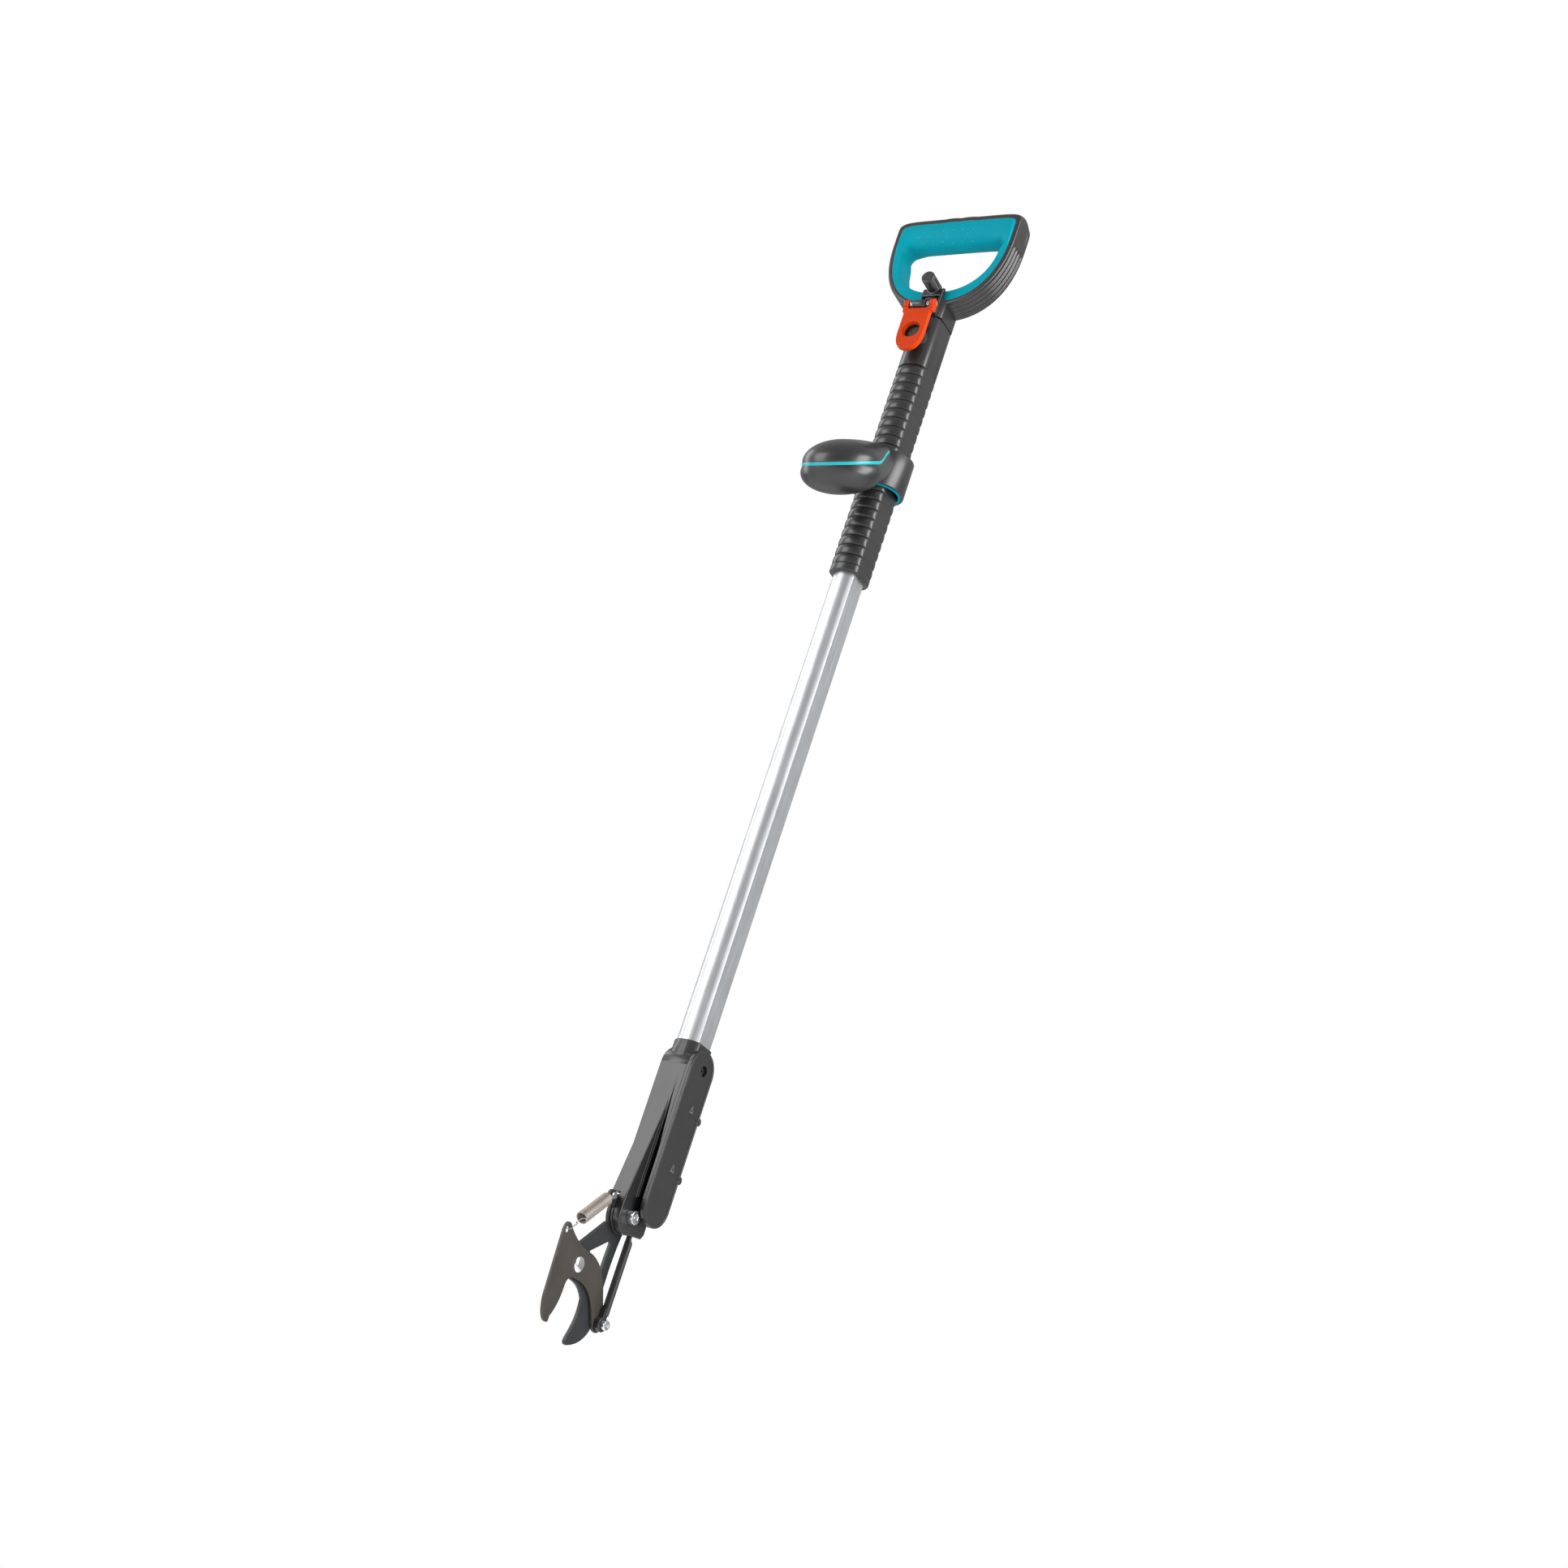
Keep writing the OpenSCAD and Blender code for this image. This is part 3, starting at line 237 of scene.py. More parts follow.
def add_piece(name, points, faces, slot, body, sharp):
    """A smooth closed mesh in millimetres, made in metres and carried by a body."""
    mesh = bpy.data.meshes.new(name)
    mesh.from_pydata([tuple(float(v) * MM for v in p) for p in points], [], faces)
    work = bmesh.new()
    work.from_mesh(mesh)
    bmesh.ops.remove_doubles(work, verts=work.verts, dist=MERGE_GAP * MM)
    bmesh.ops.recalc_face_normals(work, faces=work.faces)
    work.to_mesh(mesh)
    work.free()
    for polygon in mesh.polygons:
        polygon.use_smooth = True
    mesh.set_sharp_from_angle(angle=math.radians(sharp))
    mesh.materials.append(SLOTS[slot])
    piece = bpy.data.objects.new(name, mesh)
    scene.collection.objects.link(piece)
    if body:
        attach(piece, body)
    return piece


def loft(rings, joined=False):
    """Points and faces of a skin over closed rings; joined goes from the last ring back to the first."""
    rings = [np.asarray(ring, float) for ring in rings]
    count = len(rings[0])
    points = np.concatenate(rings)
    faces = []
    spans = len(rings) if joined else len(rings) - 1
    for i in range(spans):
        a = i * count
        b = ((i + 1) % len(rings)) * count
        for k in range(count):
            nxt = (k + 1) % count
            faces.append((a + k, a + nxt, b + nxt, b + k))
    if not joined:
        faces.append(tuple(range(count - 1, -1, -1)))
        last = (len(rings) - 1) * count
        faces.append(tuple(range(last, last + count)))
    return points, faces


def merged(skins):
    """Points and faces of several skins as one mesh."""
    points = []
    faces = []
    for skin_points, skin_faces in skins:
        base = len(points)
        points += list(skin_points)
        faces += [tuple(base + k for k in face) for face in skin_faces]
    return points, faces


def wire_skin(path, radius):
    """Points and faces of a round wire along a path, without twist."""
    path = np.asarray(path, float)
    tangents = np.gradient(path, axis=0)
    tangents /= np.linalg.norm(tangents, axis=1)[:, None]
    side = np.cross(tangents[0], OFF_AXIS)
    turns = np.linspace(0.0, FULL_TURN, WIRE_SIDES, endpoint=False)
    rings = []
    for place, tangent in zip(path, tangents):
        side = side - tangent * np.dot(side, tangent)
        side /= np.linalg.norm(side)
        other = np.cross(tangent, side)
        rings.append([place + radius * (math.cos(t) * side + math.sin(t) * other) for t in turns])
    return loft(rings)


def power_curve(half, height, power, angles):
    """Points of a power curve: round at power 2, squarer above."""
    c = np.cos(angles)
    s = np.sin(angles)
    x = half * np.sign(c) * np.abs(c) ** (2.0 / power)
    z = height * np.sign(s) * np.abs(s) ** (2.0 / power)
    return np.stack([x, z], axis=1)


# Grip sleeve: flats left and right, round ribs in front and behind
SLEEVE_RIBS = 22
RIB_PITCH = 10.8
RIB_CREST = 0.3
RIB_ROOT = -2.1
RIB_STEPS = 10
RIB_FULLNESS = 0.7
LIP_HEIGHT = 7.5
LIP_STEP = 0.6
SLEEVE_SKIN = 0.1
BORE_GAP = 0.05
CORNER_POWER = 18.0
BORE_POWER = 60.0
SECTION_STEPS = 56
# Degrees to both sides of a corner
CORNER_STEPS = (0.0, 1.5, 3.0, 5.0, 7.5)
LEAST_COSINE = 1e-6
ANGLE_DIGITS = 6
# Rounded edge of a lip: way in from its end, inset of the flats and swell of the round sides
LIP_EDGE = ((0.0, 0.3, -0.7), (0.25, 0.1, -0.3), (0.8, 0.0, 0.0))


def section_angles(flat_half, radius):
    """Angles round a flatted section, closer together at its four corners."""
    corner = math.acos(flat_half / radius)
    angles = list(np.linspace(0.0, FULL_TURN, SECTION_STEPS, endpoint=False))
    for place in (corner, math.pi - corner, math.pi + corner, FULL_TURN - corner):
        for step in CORNER_STEPS:
            angles += [place - math.radians(step), place + math.radians(step)]
    return np.array(sorted(set(round(a % FULL_TURN, ANGLE_DIGITS) for a in angles)))


def section_ring(angles, flat_half, radius, z, power=CORNER_POWER):
    """One ring of a flatted section with softened corners."""
    flat = flat_half / np.maximum(np.abs(np.cos(angles)), LEAST_COSINE)
    reach = (flat ** -power + np.full_like(flat, radius) ** -power) ** (-1.0 / power)
    return np.stack([reach * np.cos(angles), reach * np.sin(angles), np.full_like(reach, z)], axis=1)


def sleeve_levels(low_z, high_z):
    """Height, inset of the flats and swell of the round sides, from the lower end to the upper one."""
    ribs_low = low_z + LIP_HEIGHT
    ribs_high = ribs_low + SLEEVE_RIBS * RIB_PITCH
    levels = [(low_z + step, inset, swell) for step, inset, swell in LIP_EDGE]
    levels += [(ribs_low - LIP_STEP, 0.0, 0.0), (ribs_low, 0.0, RIB_ROOT)]
    for rib in range(SLEEVE_RIBS):
        for step in range(1, RIB_STEPS + 1):
            turn = math.pi * step / RIB_STEPS
            share = 0.5 - 0.5 * math.cos(turn)
            bulge = math.sin(turn) ** RIB_FULLNESS
            z = ribs_low + (rib + share) * RIB_PITCH
            levels.append((z, 0.0, RIB_ROOT + (RIB_CREST - RIB_ROOT) * bulge))
    levels.append((ribs_high + LIP_STEP, 0.0, 0.0))
    levels += [(high_z - step, inset, swell) for step, inset, swell in reversed(LIP_EDGE)]
    return levels


def build_sleeve():
    low, high = box_mm("grip_sleeve")
    tube_high = box_mm("pole_tube")[1]
    flat_half = high[0]
    radius = high[1] + SLEEVE_SKIN
    bore_flat = tube_high[0] + BORE_GAP
    bore_round = tube_high[1] + BORE_GAP
    angles = section_angles(flat_half, radius)
    rings = [section_ring(angles, flat_half - inset, radius + swell, z)
             for z, inset, swell in sleeve_levels(low[2], high[2])]
    rings += [section_ring(angles, bore_flat, bore_round, z, BORE_POWER) for z in (high[2], low[2])]
    piece = add_piece("sleeve_ribbed", *loft(rings, joined=True), "anthracite", "pole", sharp=50.0)
    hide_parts("grip_sleeve")


build_sleeve()

# Loop handle: dark rim with long ridges on its sides, and a teal inner part with the hand bar
LOOP_POWER_TOP = 9.0
LOOP_POWER_LOW = 2.4
LOOP_RISE = 25.0
LOOP_ARCH = 6.5
LOOP_MIDDLE = 38.0
LOOP_STATIONS = 360
CURVE_POINTS = 1200
OPENING_WIDTH = 114.0
OPENING_TOP = -7.0
OPENING_HEIGHT = 64.5
OPENING_CORNER = 7.0
OPENING_POWER = 2.3
CORNER_POINTS = 200
EDGE_POINTS = 900
# Rim: its thickness, and offsets in reach and depth at its inner edge and at its outer corner
RIM_THICK = 5.0
RIM_EDGE = ((-0.6, 0.2), (0.8, 0.0))
RIM_CORNER = ((-1.6, 0.0), (-0.5, 0.45))
SIDE_MARGIN = 1.6
SIDE_STEPS = 81
RIDGE_STEP = 5.6
RIDGE_DEPTH = 1.3
RIDGE_POWER = 1.5
RIDGE_TOP = -12.0
RIDGE_FROM_X = 18.0
RIDGE_FADE_X = 8.0
RIDGE_FADE_Z = 5.0
RIDGE_MARGIN = 3.0
RIDGE_FADE_Y = 1.2
PANEL_Z = 6.0
PANEL_LONG = 16.0
PANEL_WIDE = 9.0
PANEL_DEPTH = 0.5
PANEL_EDGE = 6.0
# Hand bar: how far below the widest line it begins, and over what height it takes shape
BAR_BELOW = 26.0
BAR_FADE = 14.0
# Section of the grip at its thin sides, and what the hand bar adds to it
GRIP_ROUND = 0.30
BAR_ROUND = 0.56
GRIP_PROUD = 0.2
BAR_PROUD = 1.6
GRIP_SUNK = 0.1
GRIP_POWER = 5.0
BAR_POWER = -2.8
GRIP_LAP = 0.3
GRIP_STEPS = 14
GRIP_FLAT_STEPS = 5
# Dots: height and first place of each row, and radius and height shares of one dot
DOT_ROWS = ((7.6, -38.0), (2.4, -44.0), (-3.0, -38.0))
DOT_STEP = 11.6
DOT_COUNT = 6
DOT_R = 0.75
DOT_H = 0.45
DOT_SIDES = 10
DOT_PROFILE = ((1.0, -0.2), (0.9, 0.5), (0.5, 0.9))
DOT_LEAST_DEPTH = 8.0
DOT_SPARE = 1.0


def loop_curve(inset, width, rise, drop):
    """Dense outline of the loop about its widest line, made smaller all round by inset."""
    upper = np.linspace(0.0, math.pi, CURVE_POINTS, endpoint=False)
    lower = np.linspace(math.pi, FULL_TURN, CURVE_POINTS, endpoint=False)
    half = width / 2.0 - inset
    return np.concatenate([power_curve(half, rise - inset, LOOP_POWER_TOP, upper),
                           power_curve(half, drop - inset, LOOP_POWER_LOW, lower)])


def opening_curve(top, height):
    """Dense outline of the hand opening: straight above, with rounded corners, and rounded below."""
    half = OPENING_WIDTH / 2.0
    inner = half - OPENING_CORNER
    waist = top - OPENING_CORNER
    turn = np.linspace(0.0, 0.5 * math.pi, CORNER_POINTS, endpoint=False)
    arc = OPENING_CORNER * np.stack([np.cos(turn), np.sin(turn)], axis=1)
    edge = np.linspace(inner, -inner, EDGE_POINTS)
    lower = np.linspace(math.pi, FULL_TURN, CURVE_POINTS, endpoint=False)
    return np.concatenate([
        arc + np.array([inner, waist]),
        np.stack([edge, np.full_like(edge, top)], axis=1),
        np.stack([-arc[::-1, 0] - inner, arc[::-1, 1] + waist], axis=1),
        power_curve(half, height - OPENING_CORNER, OPENING_POWER, lower) + np.array([0.0, waist])])


def polar_reach(curve, middle, angles):
    """Distance from the middle to a closed curve in each direction."""
    offset = curve - middle
    turn = np.mod(np.arctan2(offset[:, 1], offset[:, 0]), FULL_TURN)
    order = np.argsort(turn)
    reach = np.hypot(offset[:, 0], offset[:, 1])
    return np.interp(angles, turn[order], reach[order], period=FULL_TURN)


def even_angles(curve, middle, count):
    """Directions from the middle to points spaced evenly along a curve."""
    closed = np.concatenate([curve, curve[:1]])
    steps = np.concatenate([[0.0], np.cumsum(np.hypot(*np.diff(closed, axis=0).T))])
    places = np.linspace(0.0, steps[-1], count, endpoint=False)
    x = np.interp(places, steps, closed[:, 0]) - middle[0]
    z = np.interp(places, steps, closed[:, 1]) - middle[1]
    return np.mod(np.arctan2(z, x), FULL_TURN)


def rim_profile(angle, out, rim, arch, half_depth):
    """Reach and depth round the rim's section: flat in front and behind, ridged or arched at the side."""
    x = out * math.cos(angle)
    z = out * math.sin(angle) - LOOP_MIDDLE
    ridged = float(ease((abs(x) - RIDGE_FROM_X) / RIDGE_FADE_X) * ease((RIDGE_TOP - z) / RIDGE_FADE_Z))
    panel_long = (z - PANEL_Z) / PANEL_LONG
    side = []
    for y in np.linspace(SIDE_MARGIN - half_depth, half_depth - SIDE_MARGIN, SIDE_STEPS):
        strip = float(ease((half_depth - RIDGE_MARGIN - abs(y)) / RIDGE_FADE_Y))
        crest = 0.5 + 0.5 * math.cos(FULL_TURN * y / RIDGE_STEP)
        dip = ridged * strip * RIDGE_DEPTH * (1.0 - crest ** RIDGE_POWER)
        lens = 1.0 - panel_long ** 2 - (y / PANEL_WIDE) ** 2
        flat = PANEL_DEPTH * float(ease(lens * PANEL_EDGE))
        rise = (arch - out) * (1.0 - (y / half_depth) ** 2)
        side.append((out + rise - max(dip, flat), y))
    face = [(rim + step, half_depth - depth) for step, depth in RIM_EDGE]
    face += [(out + step, half_depth - depth) for step, depth in RIM_CORNER]
    return [(reach, -y) for reach, y in face] + side + face[::-1]


def grip_profile(angle, opened, rim, half_depth):
    """Reach and depth round the grip's section, rounded at the opening and more so on the hand bar."""
    bar = float(ease((math.sin(angle) * opened - LOOP_MIDDLE + BAR_BELOW) / BAR_FADE))
    round_share = GRIP_ROUND + BAR_ROUND * bar
    front = half_depth + GRIP_PROUD + BAR_PROUD * bar
    edge = half_depth - GRIP_SUNK
    power = GRIP_POWER + BAR_POWER * bar
    profile = []
    for step in range(GRIP_STEPS + 1):
        turn = 0.5 * math.pi * step / GRIP_STEPS
        share = round_share * (1.0 - math.cos(turn) ** (2.0 / power))
        profile.append((share, front * math.sin(turn) ** (2.0 / power)))
    for share in np.linspace(round_share, 1.0, GRIP_FLAT_STEPS + 1)[1:]:
        fall = (share - round_share) / (1.0 - round_share)
        profile.append((share, front + (edge - front) * fall * fall))
    span = rim + GRIP_LAP - opened
    near_half = [(opened + span * share, -y) for share, y in profile]
    far_half = [(opened + span * share, y) for share, y in reversed(profile[1:])]
    return near_half + far_half


def build_loop():
    low, high = box_mm("handle_frame")
    width = high[0] - low[0]
    half_depth = (high[1] - low[1]) / 2.0
    loop_z = high[2] - LOOP_RISE - LOOP_ARCH
    drop = loop_z - low[2]
    middle = np.array([0.0, -LOOP_MIDDLE])
    outer = loop_curve(0.0, width, LOOP_RISE, drop)
    inner = loop_curve(RIM_THICK, width, LOOP_RISE, drop)
    arched = loop_curve(0.0, width, LOOP_RISE + LOOP_ARCH, drop)
    opening = opening_curve(OPENING_TOP, OPENING_HEIGHT)
    angles = even_angles(outer, middle, LOOP_STATIONS)
    reaches = [polar_reach(curve, middle, angles) for curve in (outer, inner, arched, opening)]

    def placed(angle, profile):
        return [(reach * math.cos(angle), y, loop_z - LOOP_MIDDLE + reach * math.sin(angle))
                for reach, y in profile]

    rim_rings = []
    grip_rings = []
    for angle, out, rim, arch, opened in zip(angles, *reaches):
        rim_rings.append(placed(angle, rim_profile(angle, out, rim, arch, half_depth)))
        grip_rings.append(placed(angle, grip_profile(angle, opened, rim, half_depth)))
    rim_piece = add_piece("loop_rim", *loft(rim_rings, joined=True), "anthracite", "handle", sharp=45.0)
    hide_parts("handle_frame")
    grip_piece = add_piece("loop_grip", *loft(grip_rings, joined=True), "teal_grip", "handle", sharp=60.0)
    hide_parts("handle_grip")
    build_dots(np.array(grip_rings), loop_z)


def build_dots(rings, loop_z):
    """Three rows of small raised dots on the front of the hand bar; their lighter teal is a painted
    highlight.
    """
    along = np.roll(rings, -1, axis=0) - np.roll(rings, 1, axis=0)
    across = np.roll(rings, -1, axis=1) - np.roll(rings, 1, axis=1)
    normals = np.cross(along, across).reshape(-1, 3)
    spots = rings.reshape(-1, 3)
    on_bar = spots[:, 2] > loop_z + OPENING_TOP - DOT_SPARE
    front = np.flatnonzero((spots[:, 1] < -DOT_LEAST_DEPTH) & on_bar)
    turns = np.linspace(0.0, FULL_TURN, DOT_SIDES, endpoint=False)
    dots = []
    for row_z, first_x in DOT_ROWS:
        for step in range(DOT_COUNT):
            wanted = np.array([first_x + DOT_STEP * step, loop_z + row_z])
            near = front[np.argmin(np.hypot(*(spots[front][:, [0, 2]] - wanted).T))]
            normal = normals[near] / np.linalg.norm(normals[near])
            normal = normal if normal[1] < 0.0 else -normal
            side = np.cross(normal, (0.0, 0.0, 1.0))
            side /= np.linalg.norm(side)
            other = np.cross(normal, side)
            levels = []
            for share, lift in DOT_PROFILE:
                heart = spots[near] + DOT_H * lift * normal
                r = DOT_R * share
                levels.append([heart + r * (math.cos(t) * side + math.sin(t) * other) for t in turns])
            dots.append(loft(levels))
    # The raised dots are real geometry; their lighter stripe teal is a painted highlight where they catch
    # the light.
    add_piece("grip_dots", *merged(dots), "teal_stripe", "handle", sharp=60.0)


build_loop()

# Palm pod: two shells with a stripe between them, in a frame that tilts up to the ring
POD_HALF_WIDTH = 38.0
POD_FRONT = 38.0
POD_BACK = 78.0
POD_CROWN = 23.5
POD_BELLY = 30.0
POD_REACH = 73.5
POD_DROP = 35.5
POD_TILT = math.radians(35.5)
POD_STATIONS = 48
POD_ARC = 40
FRONT_SHARE = 0.9995
FRONT_FULLNESS = 0.7
NECK_FROM = 69.0
NECK_HALF_WIDTH = 17.5
NECK_TAPER = 0.25
RING_SINK = 0.4
CROWN_REACH = 86.0
CROWN_POWER = 2.5
LEAST_CROWN = 0.8
BELLY_RISE = 10.0
BULGE_ANGLE = math.radians(21.0)
STRIPE_THICK = 3.0
STRIPE_PROUD = 0.5
STRIPE_CUT_X = 0.35
STRIPE_CUT_Z = 0.5
STRIPE_RISE = 10.5
RISE_FROM = 8.0
RISE_LENGTH = 46.0
CURL_FROM = 54.0
CURL_LENGTH = 10.0
CURL_DROP = 3.0
CURL_TUCK = 6.0


def curl(y):
    """How far the end of the stripe has curled in under the neck."""
    return float(ease((y - CURL_FROM) / CURL_LENGTH))


def pod_station(y):
    """Half width, parting height, crown and belly of the pod at a place along it."""
    edge = STRIPE_THICK / 2.0
    if y < 0.0:
        front = math.sqrt(max(0.0, 1.0 - (y / POD_FRONT) ** 2))
        crown = (POD_CROWN - edge) * front
        belly = (POD_BELLY - edge) * front ** FRONT_FULLNESS
        return POD_HALF_WIDTH * front, 0.0, crown, belly
    share = min(y / NECK_FROM, 1.0)
    taper = (1.0 + NECK_TAPER) * share * share / (share + NECK_TAPER)
    width = POD_HALF_WIDTH + (NECK_HALF_WIDTH - POD_HALF_WIDTH) * taper
    part = STRIPE_RISE * float(ease((y - RISE_FROM) / RISE_LENGTH)) - CURL_DROP * curl(y)
    crown = POD_CROWN * math.sqrt(1.0 - (y / CROWN_REACH) ** CROWN_POWER) - part - edge
    belly = POD_BELLY + part - edge - BELLY_RISE * float(ease(share))
    return width, part, max(LEAST_CROWN, crown), belly


def upper_arc(width, height):
    """Upper half of a section: half an ellipse."""
    return power_curve(width, height, 2.0, np.linspace(0.0, math.pi, POD_ARC + 1))


def lower_arc(width, height):
    """Lower half of a section: fuller than half an ellipse, it bulges under the stripe."""
    turn = np.linspace(BULGE_ANGLE, -math.pi - BULGE_ANGLE, POD_ARC + 1)
    sink = math.sin(BULGE_ANGLE)
    x = -width * np.cos(turn) / math.cos(BULGE_ANGLE)
    z = height * (np.sin(turn) - sink) / (1.0 + sink)
    return np.stack([x, z], axis=1)


def stripe_section(wide, half):
    """Corners of the stripe's section, with its edges cut."""
    right = [(wide - STRIPE_CUT_X, -half), (wide, STRIPE_CUT_Z - half),
             (wide, half - STRIPE_CUT_Z), (wide - STRIPE_CUT_X, half)]
    return right + [(-x, z) for x, z in reversed(right)]


def build_pod():
    ring_low, ring_high = box_mm("pod_ring")
    ring_z = (ring_low[2] + ring_high[2]) / 2.0
    wall_r = ring_high[0] - RING_SINK
    middle = np.array([0.0, -POD_REACH, ring_z - POD_DROP])
    back = np.array([0.0, math.cos(POD_TILT), math.sin(POD_TILT)])
    lift = np.array([0.0, -math.sin(POD_TILT), math.cos(POD_TILT)])

    def place(x, y, n):
        """Place in the tilted frame, stopped at the ring's wall."""
        if abs(x) < wall_r:
            wall = POD_REACH - math.sqrt(wall_r ** 2 - x ** 2)
            y = min(y, (wall + n * math.sin(POD_TILT)) / math.cos(POD_TILT))
        return middle + np.array([x, 0.0, 0.0]) + y * back + n * lift

    quarter = [0.5 * math.pi * i / POD_STATIONS for i in range(POD_STATIONS)]
    stations = [-POD_FRONT * math.cos(turn) * FRONT_SHARE for turn in quarter]
    stations += list(np.linspace(0.0, POD_BACK, POD_STATIONS))
    half = STRIPE_THICK / 2.0
    top_rings = []
    low_rings = []
    band_rings = []
    for y in stations:
        width, part, crown, belly = pod_station(y)
        shut = half * (1.0 - curl(y))
        wide = width + STRIPE_PROUD - CURL_TUCK * curl(y)
        top_rings.append([place(x, y, part + shut + z) for x, z in upper_arc(width, crown)])
        low_rings.append([place(x, y, part - shut + z) for x, z in lower_arc(width, belly)])
        band_rings.append([place(x, y, part + z) for x, z in stripe_section(wide, half)])
    top_shell = add_piece("pod_top_shell", *loft(top_rings), "anthracite", "pod", sharp=50.0)
    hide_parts("pod_upper")
    low_shell = add_piece("pod_low_shell", *loft(low_rings), "anthracite", "pod", sharp=50.0)
    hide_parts("pod_lower")
    band = add_piece("pod_band", *loft(band_rings), "teal_stripe", "pod", sharp=50.0)
    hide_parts("pod_stripe")


build_pod()

# Return spring: a close coil with an eyelet on its post, stretched by its hook
SPRING_WIRE = 1.1
SPRING_MEAN_R = 4.95
SPRING_PITCH = 1.13
COIL_START = 6.0
COIL_STEPS = 20
COIL_TAIL = 5.0
EYELET_R = 2.45
EYELET_GAP = 0.35
EYELET_FROM = math.radians(250.0)
EYELET_SWEEP = math.radians(-224.0)
EYELET_STEPS = 18
# Wire between eyelet and coil, and points of the tail above the coil's end
BRIDGE_Y = -0.44
BRIDGE_RISE = 1.8
TAIL_POINTS = ((0.8 * SPRING_MEAN_R, 1.2, 0.7), (0.45 * SPRING_MEAN_R, 0.9, 1.5), (0.6, 0.2, 2.6),
               (0.0, 0.0, COIL_TAIL))


def build_return_spring():
    lug = joint_mm("spring_swing")
    along = np.array(JOINTS["spring_stretch"]["axis"])
    across = np.array([0.0, along[2], -along[1]])
    blade_low, blade_high = box_mm("cutting_blade")
    disc_high = box_mm("hub_disc")[1]
    centre_x = (blade_low[0] + blade_high[0]) / 2.0
    eyelet_x = disc_high[0] + EYELET_GAP + SPRING_WIRE / 2.0 - centre_x
    hook_near = min(np.dot(np.array([0.0, y, z]) - lug, along) for _, y, z in box_mm("spring_hook"))
    turns = math.floor((hook_near - COIL_TAIL - COIL_START) / SPRING_PITCH)
    top = COIL_START + SPRING_PITCH * turns
    path = []
    for step in range(EYELET_STEPS + 1):
        turn = EYELET_FROM + EYELET_SWEEP * step / EYELET_STEPS
        path.append((eyelet_x, EYELET_R * math.sin(turn), EYELET_R * math.cos(turn)))
    path.append(((eyelet_x + SPRING_MEAN_R) / 2.0, BRIDGE_Y, EYELET_R + BRIDGE_RISE))
    for step in range(COIL_STEPS * turns + 1):
        turn = FULL_TURN * step / COIL_STEPS
        path.append((SPRING_MEAN_R * math.cos(turn), SPRING_MEAN_R * math.sin(turn),
                     COIL_START + SPRING_PITCH * step / COIL_STEPS))
    path += [(x, y, top + z) for x, y, z in TAIL_POINTS]
    origin = np.array([centre_x, lug[1], lug[2]])
    wire = [origin + np.array([x, 0.0, 0.0]) + y * across + z * along for x, y, z in path]
    piece = add_piece("spring_coil", *wire_skin(wire, SPRING_WIRE / 2.0), "nickel", None, sharp=60.0)
    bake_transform(piece)
    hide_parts("return_spring")


build_return_spring()

# Two small coil springs on the pin of the hasp
LOCK_WIRE = 0.9
LOCK_COIL_R = 2.4
LOCK_TURNS = 2.5
LOCK_PITCH = 1.45
LOCK_FROM = 7.7
LOCK_STEPS = 24


def build_lock_springs():
    hinge = joint_mm("hasp_swing")
    coils = []
    for side in (-1.0, 1.0):
        path = []
        for step in range(int(LOCK_STEPS * LOCK_TURNS) + 1):
            turns = step / LOCK_STEPS
            x = side * (LOCK_FROM + LOCK_PITCH * turns)
            y = LOCK_COIL_R * math.cos(FULL_TURN * turns)
            z = LOCK_COIL_R * math.sin(FULL_TURN * turns)
            path.append(hinge + np.array([x, y, z]))
        coils.append(wire_skin(path, LOCK_WIRE / 2.0))
    piece = add_piece("lock_coils", *merged(coils), "bright_bolt", "pole", sharp=60.0)
    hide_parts("hasp_springs")


build_lock_springs()

# Lower strap: flat webbing, split at the hub so that each piece rides on its own body
STRAP_CORNER = 0.6
STRAP_STEPS = 60
STRAP_FULL_BELOW = 16.0
STRAP_FADE = 3.0
STRAP_FULLER = {"left": 0.1, "right": 1.2, "front": 0.2, "back": 1.8}
STRAP_LAP = 2.0
STRAP_INSET = 0.05
RISER_STEPS = 12


def band_ring(x_low, x_high, y_low, y_high, z, corner):
    """Section of a flat strap with its corners cut."""
    return [(x_low + corner, y_low, z), (x_high - corner, y_low, z), (x_high, y_low + corner, z),
            (x_high, y_high - corner, z), (x_high - corner, y_high, z), (x_low + corner, y_high, z),
            (x_low, y_high - corner, z), (x_low, y_low + corner, z)]


def build_lower_strap():
    low, high = box_mm("lower_strap")
    hub = joint_mm("head_tilt")
    rings = []
    for z in np.linspace(low[2], hub[2] + STRAP_LAP, STRAP_STEPS):
        full = float(ease((hub[2] - STRAP_FULL_BELOW - z) / STRAP_FADE))
        x_low = low[0] - STRAP_FULLER["left"] * full
        x_high = high[0] + STRAP_FULLER["right"] * full
        y_low = low[1] - STRAP_FULLER["front"] * full
        y_high = high[1] + STRAP_FULLER["back"] * full
        rings.append(band_ring(x_low, x_high, y_low, y_high, z, STRAP_CORNER))
    piece = add_piece("pull_strap", *loft(rings), "strap_black", "strap_end", sharp=50.0)
    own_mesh(piece)
    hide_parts("lower_strap")
    sides = (low[0] + STRAP_INSET, high[0] - STRAP_INSET, low[1] + STRAP_INSET, high[1] - STRAP_INSET)
    rings = [band_ring(*sides, z, STRAP_CORNER) for z in np.linspace(hub[2], high[2], RISER_STEPS)]
    add_piece("strap_riser", *loft(rings), "strap_black", "tackle", sharp=50.0)


build_lower_strap()

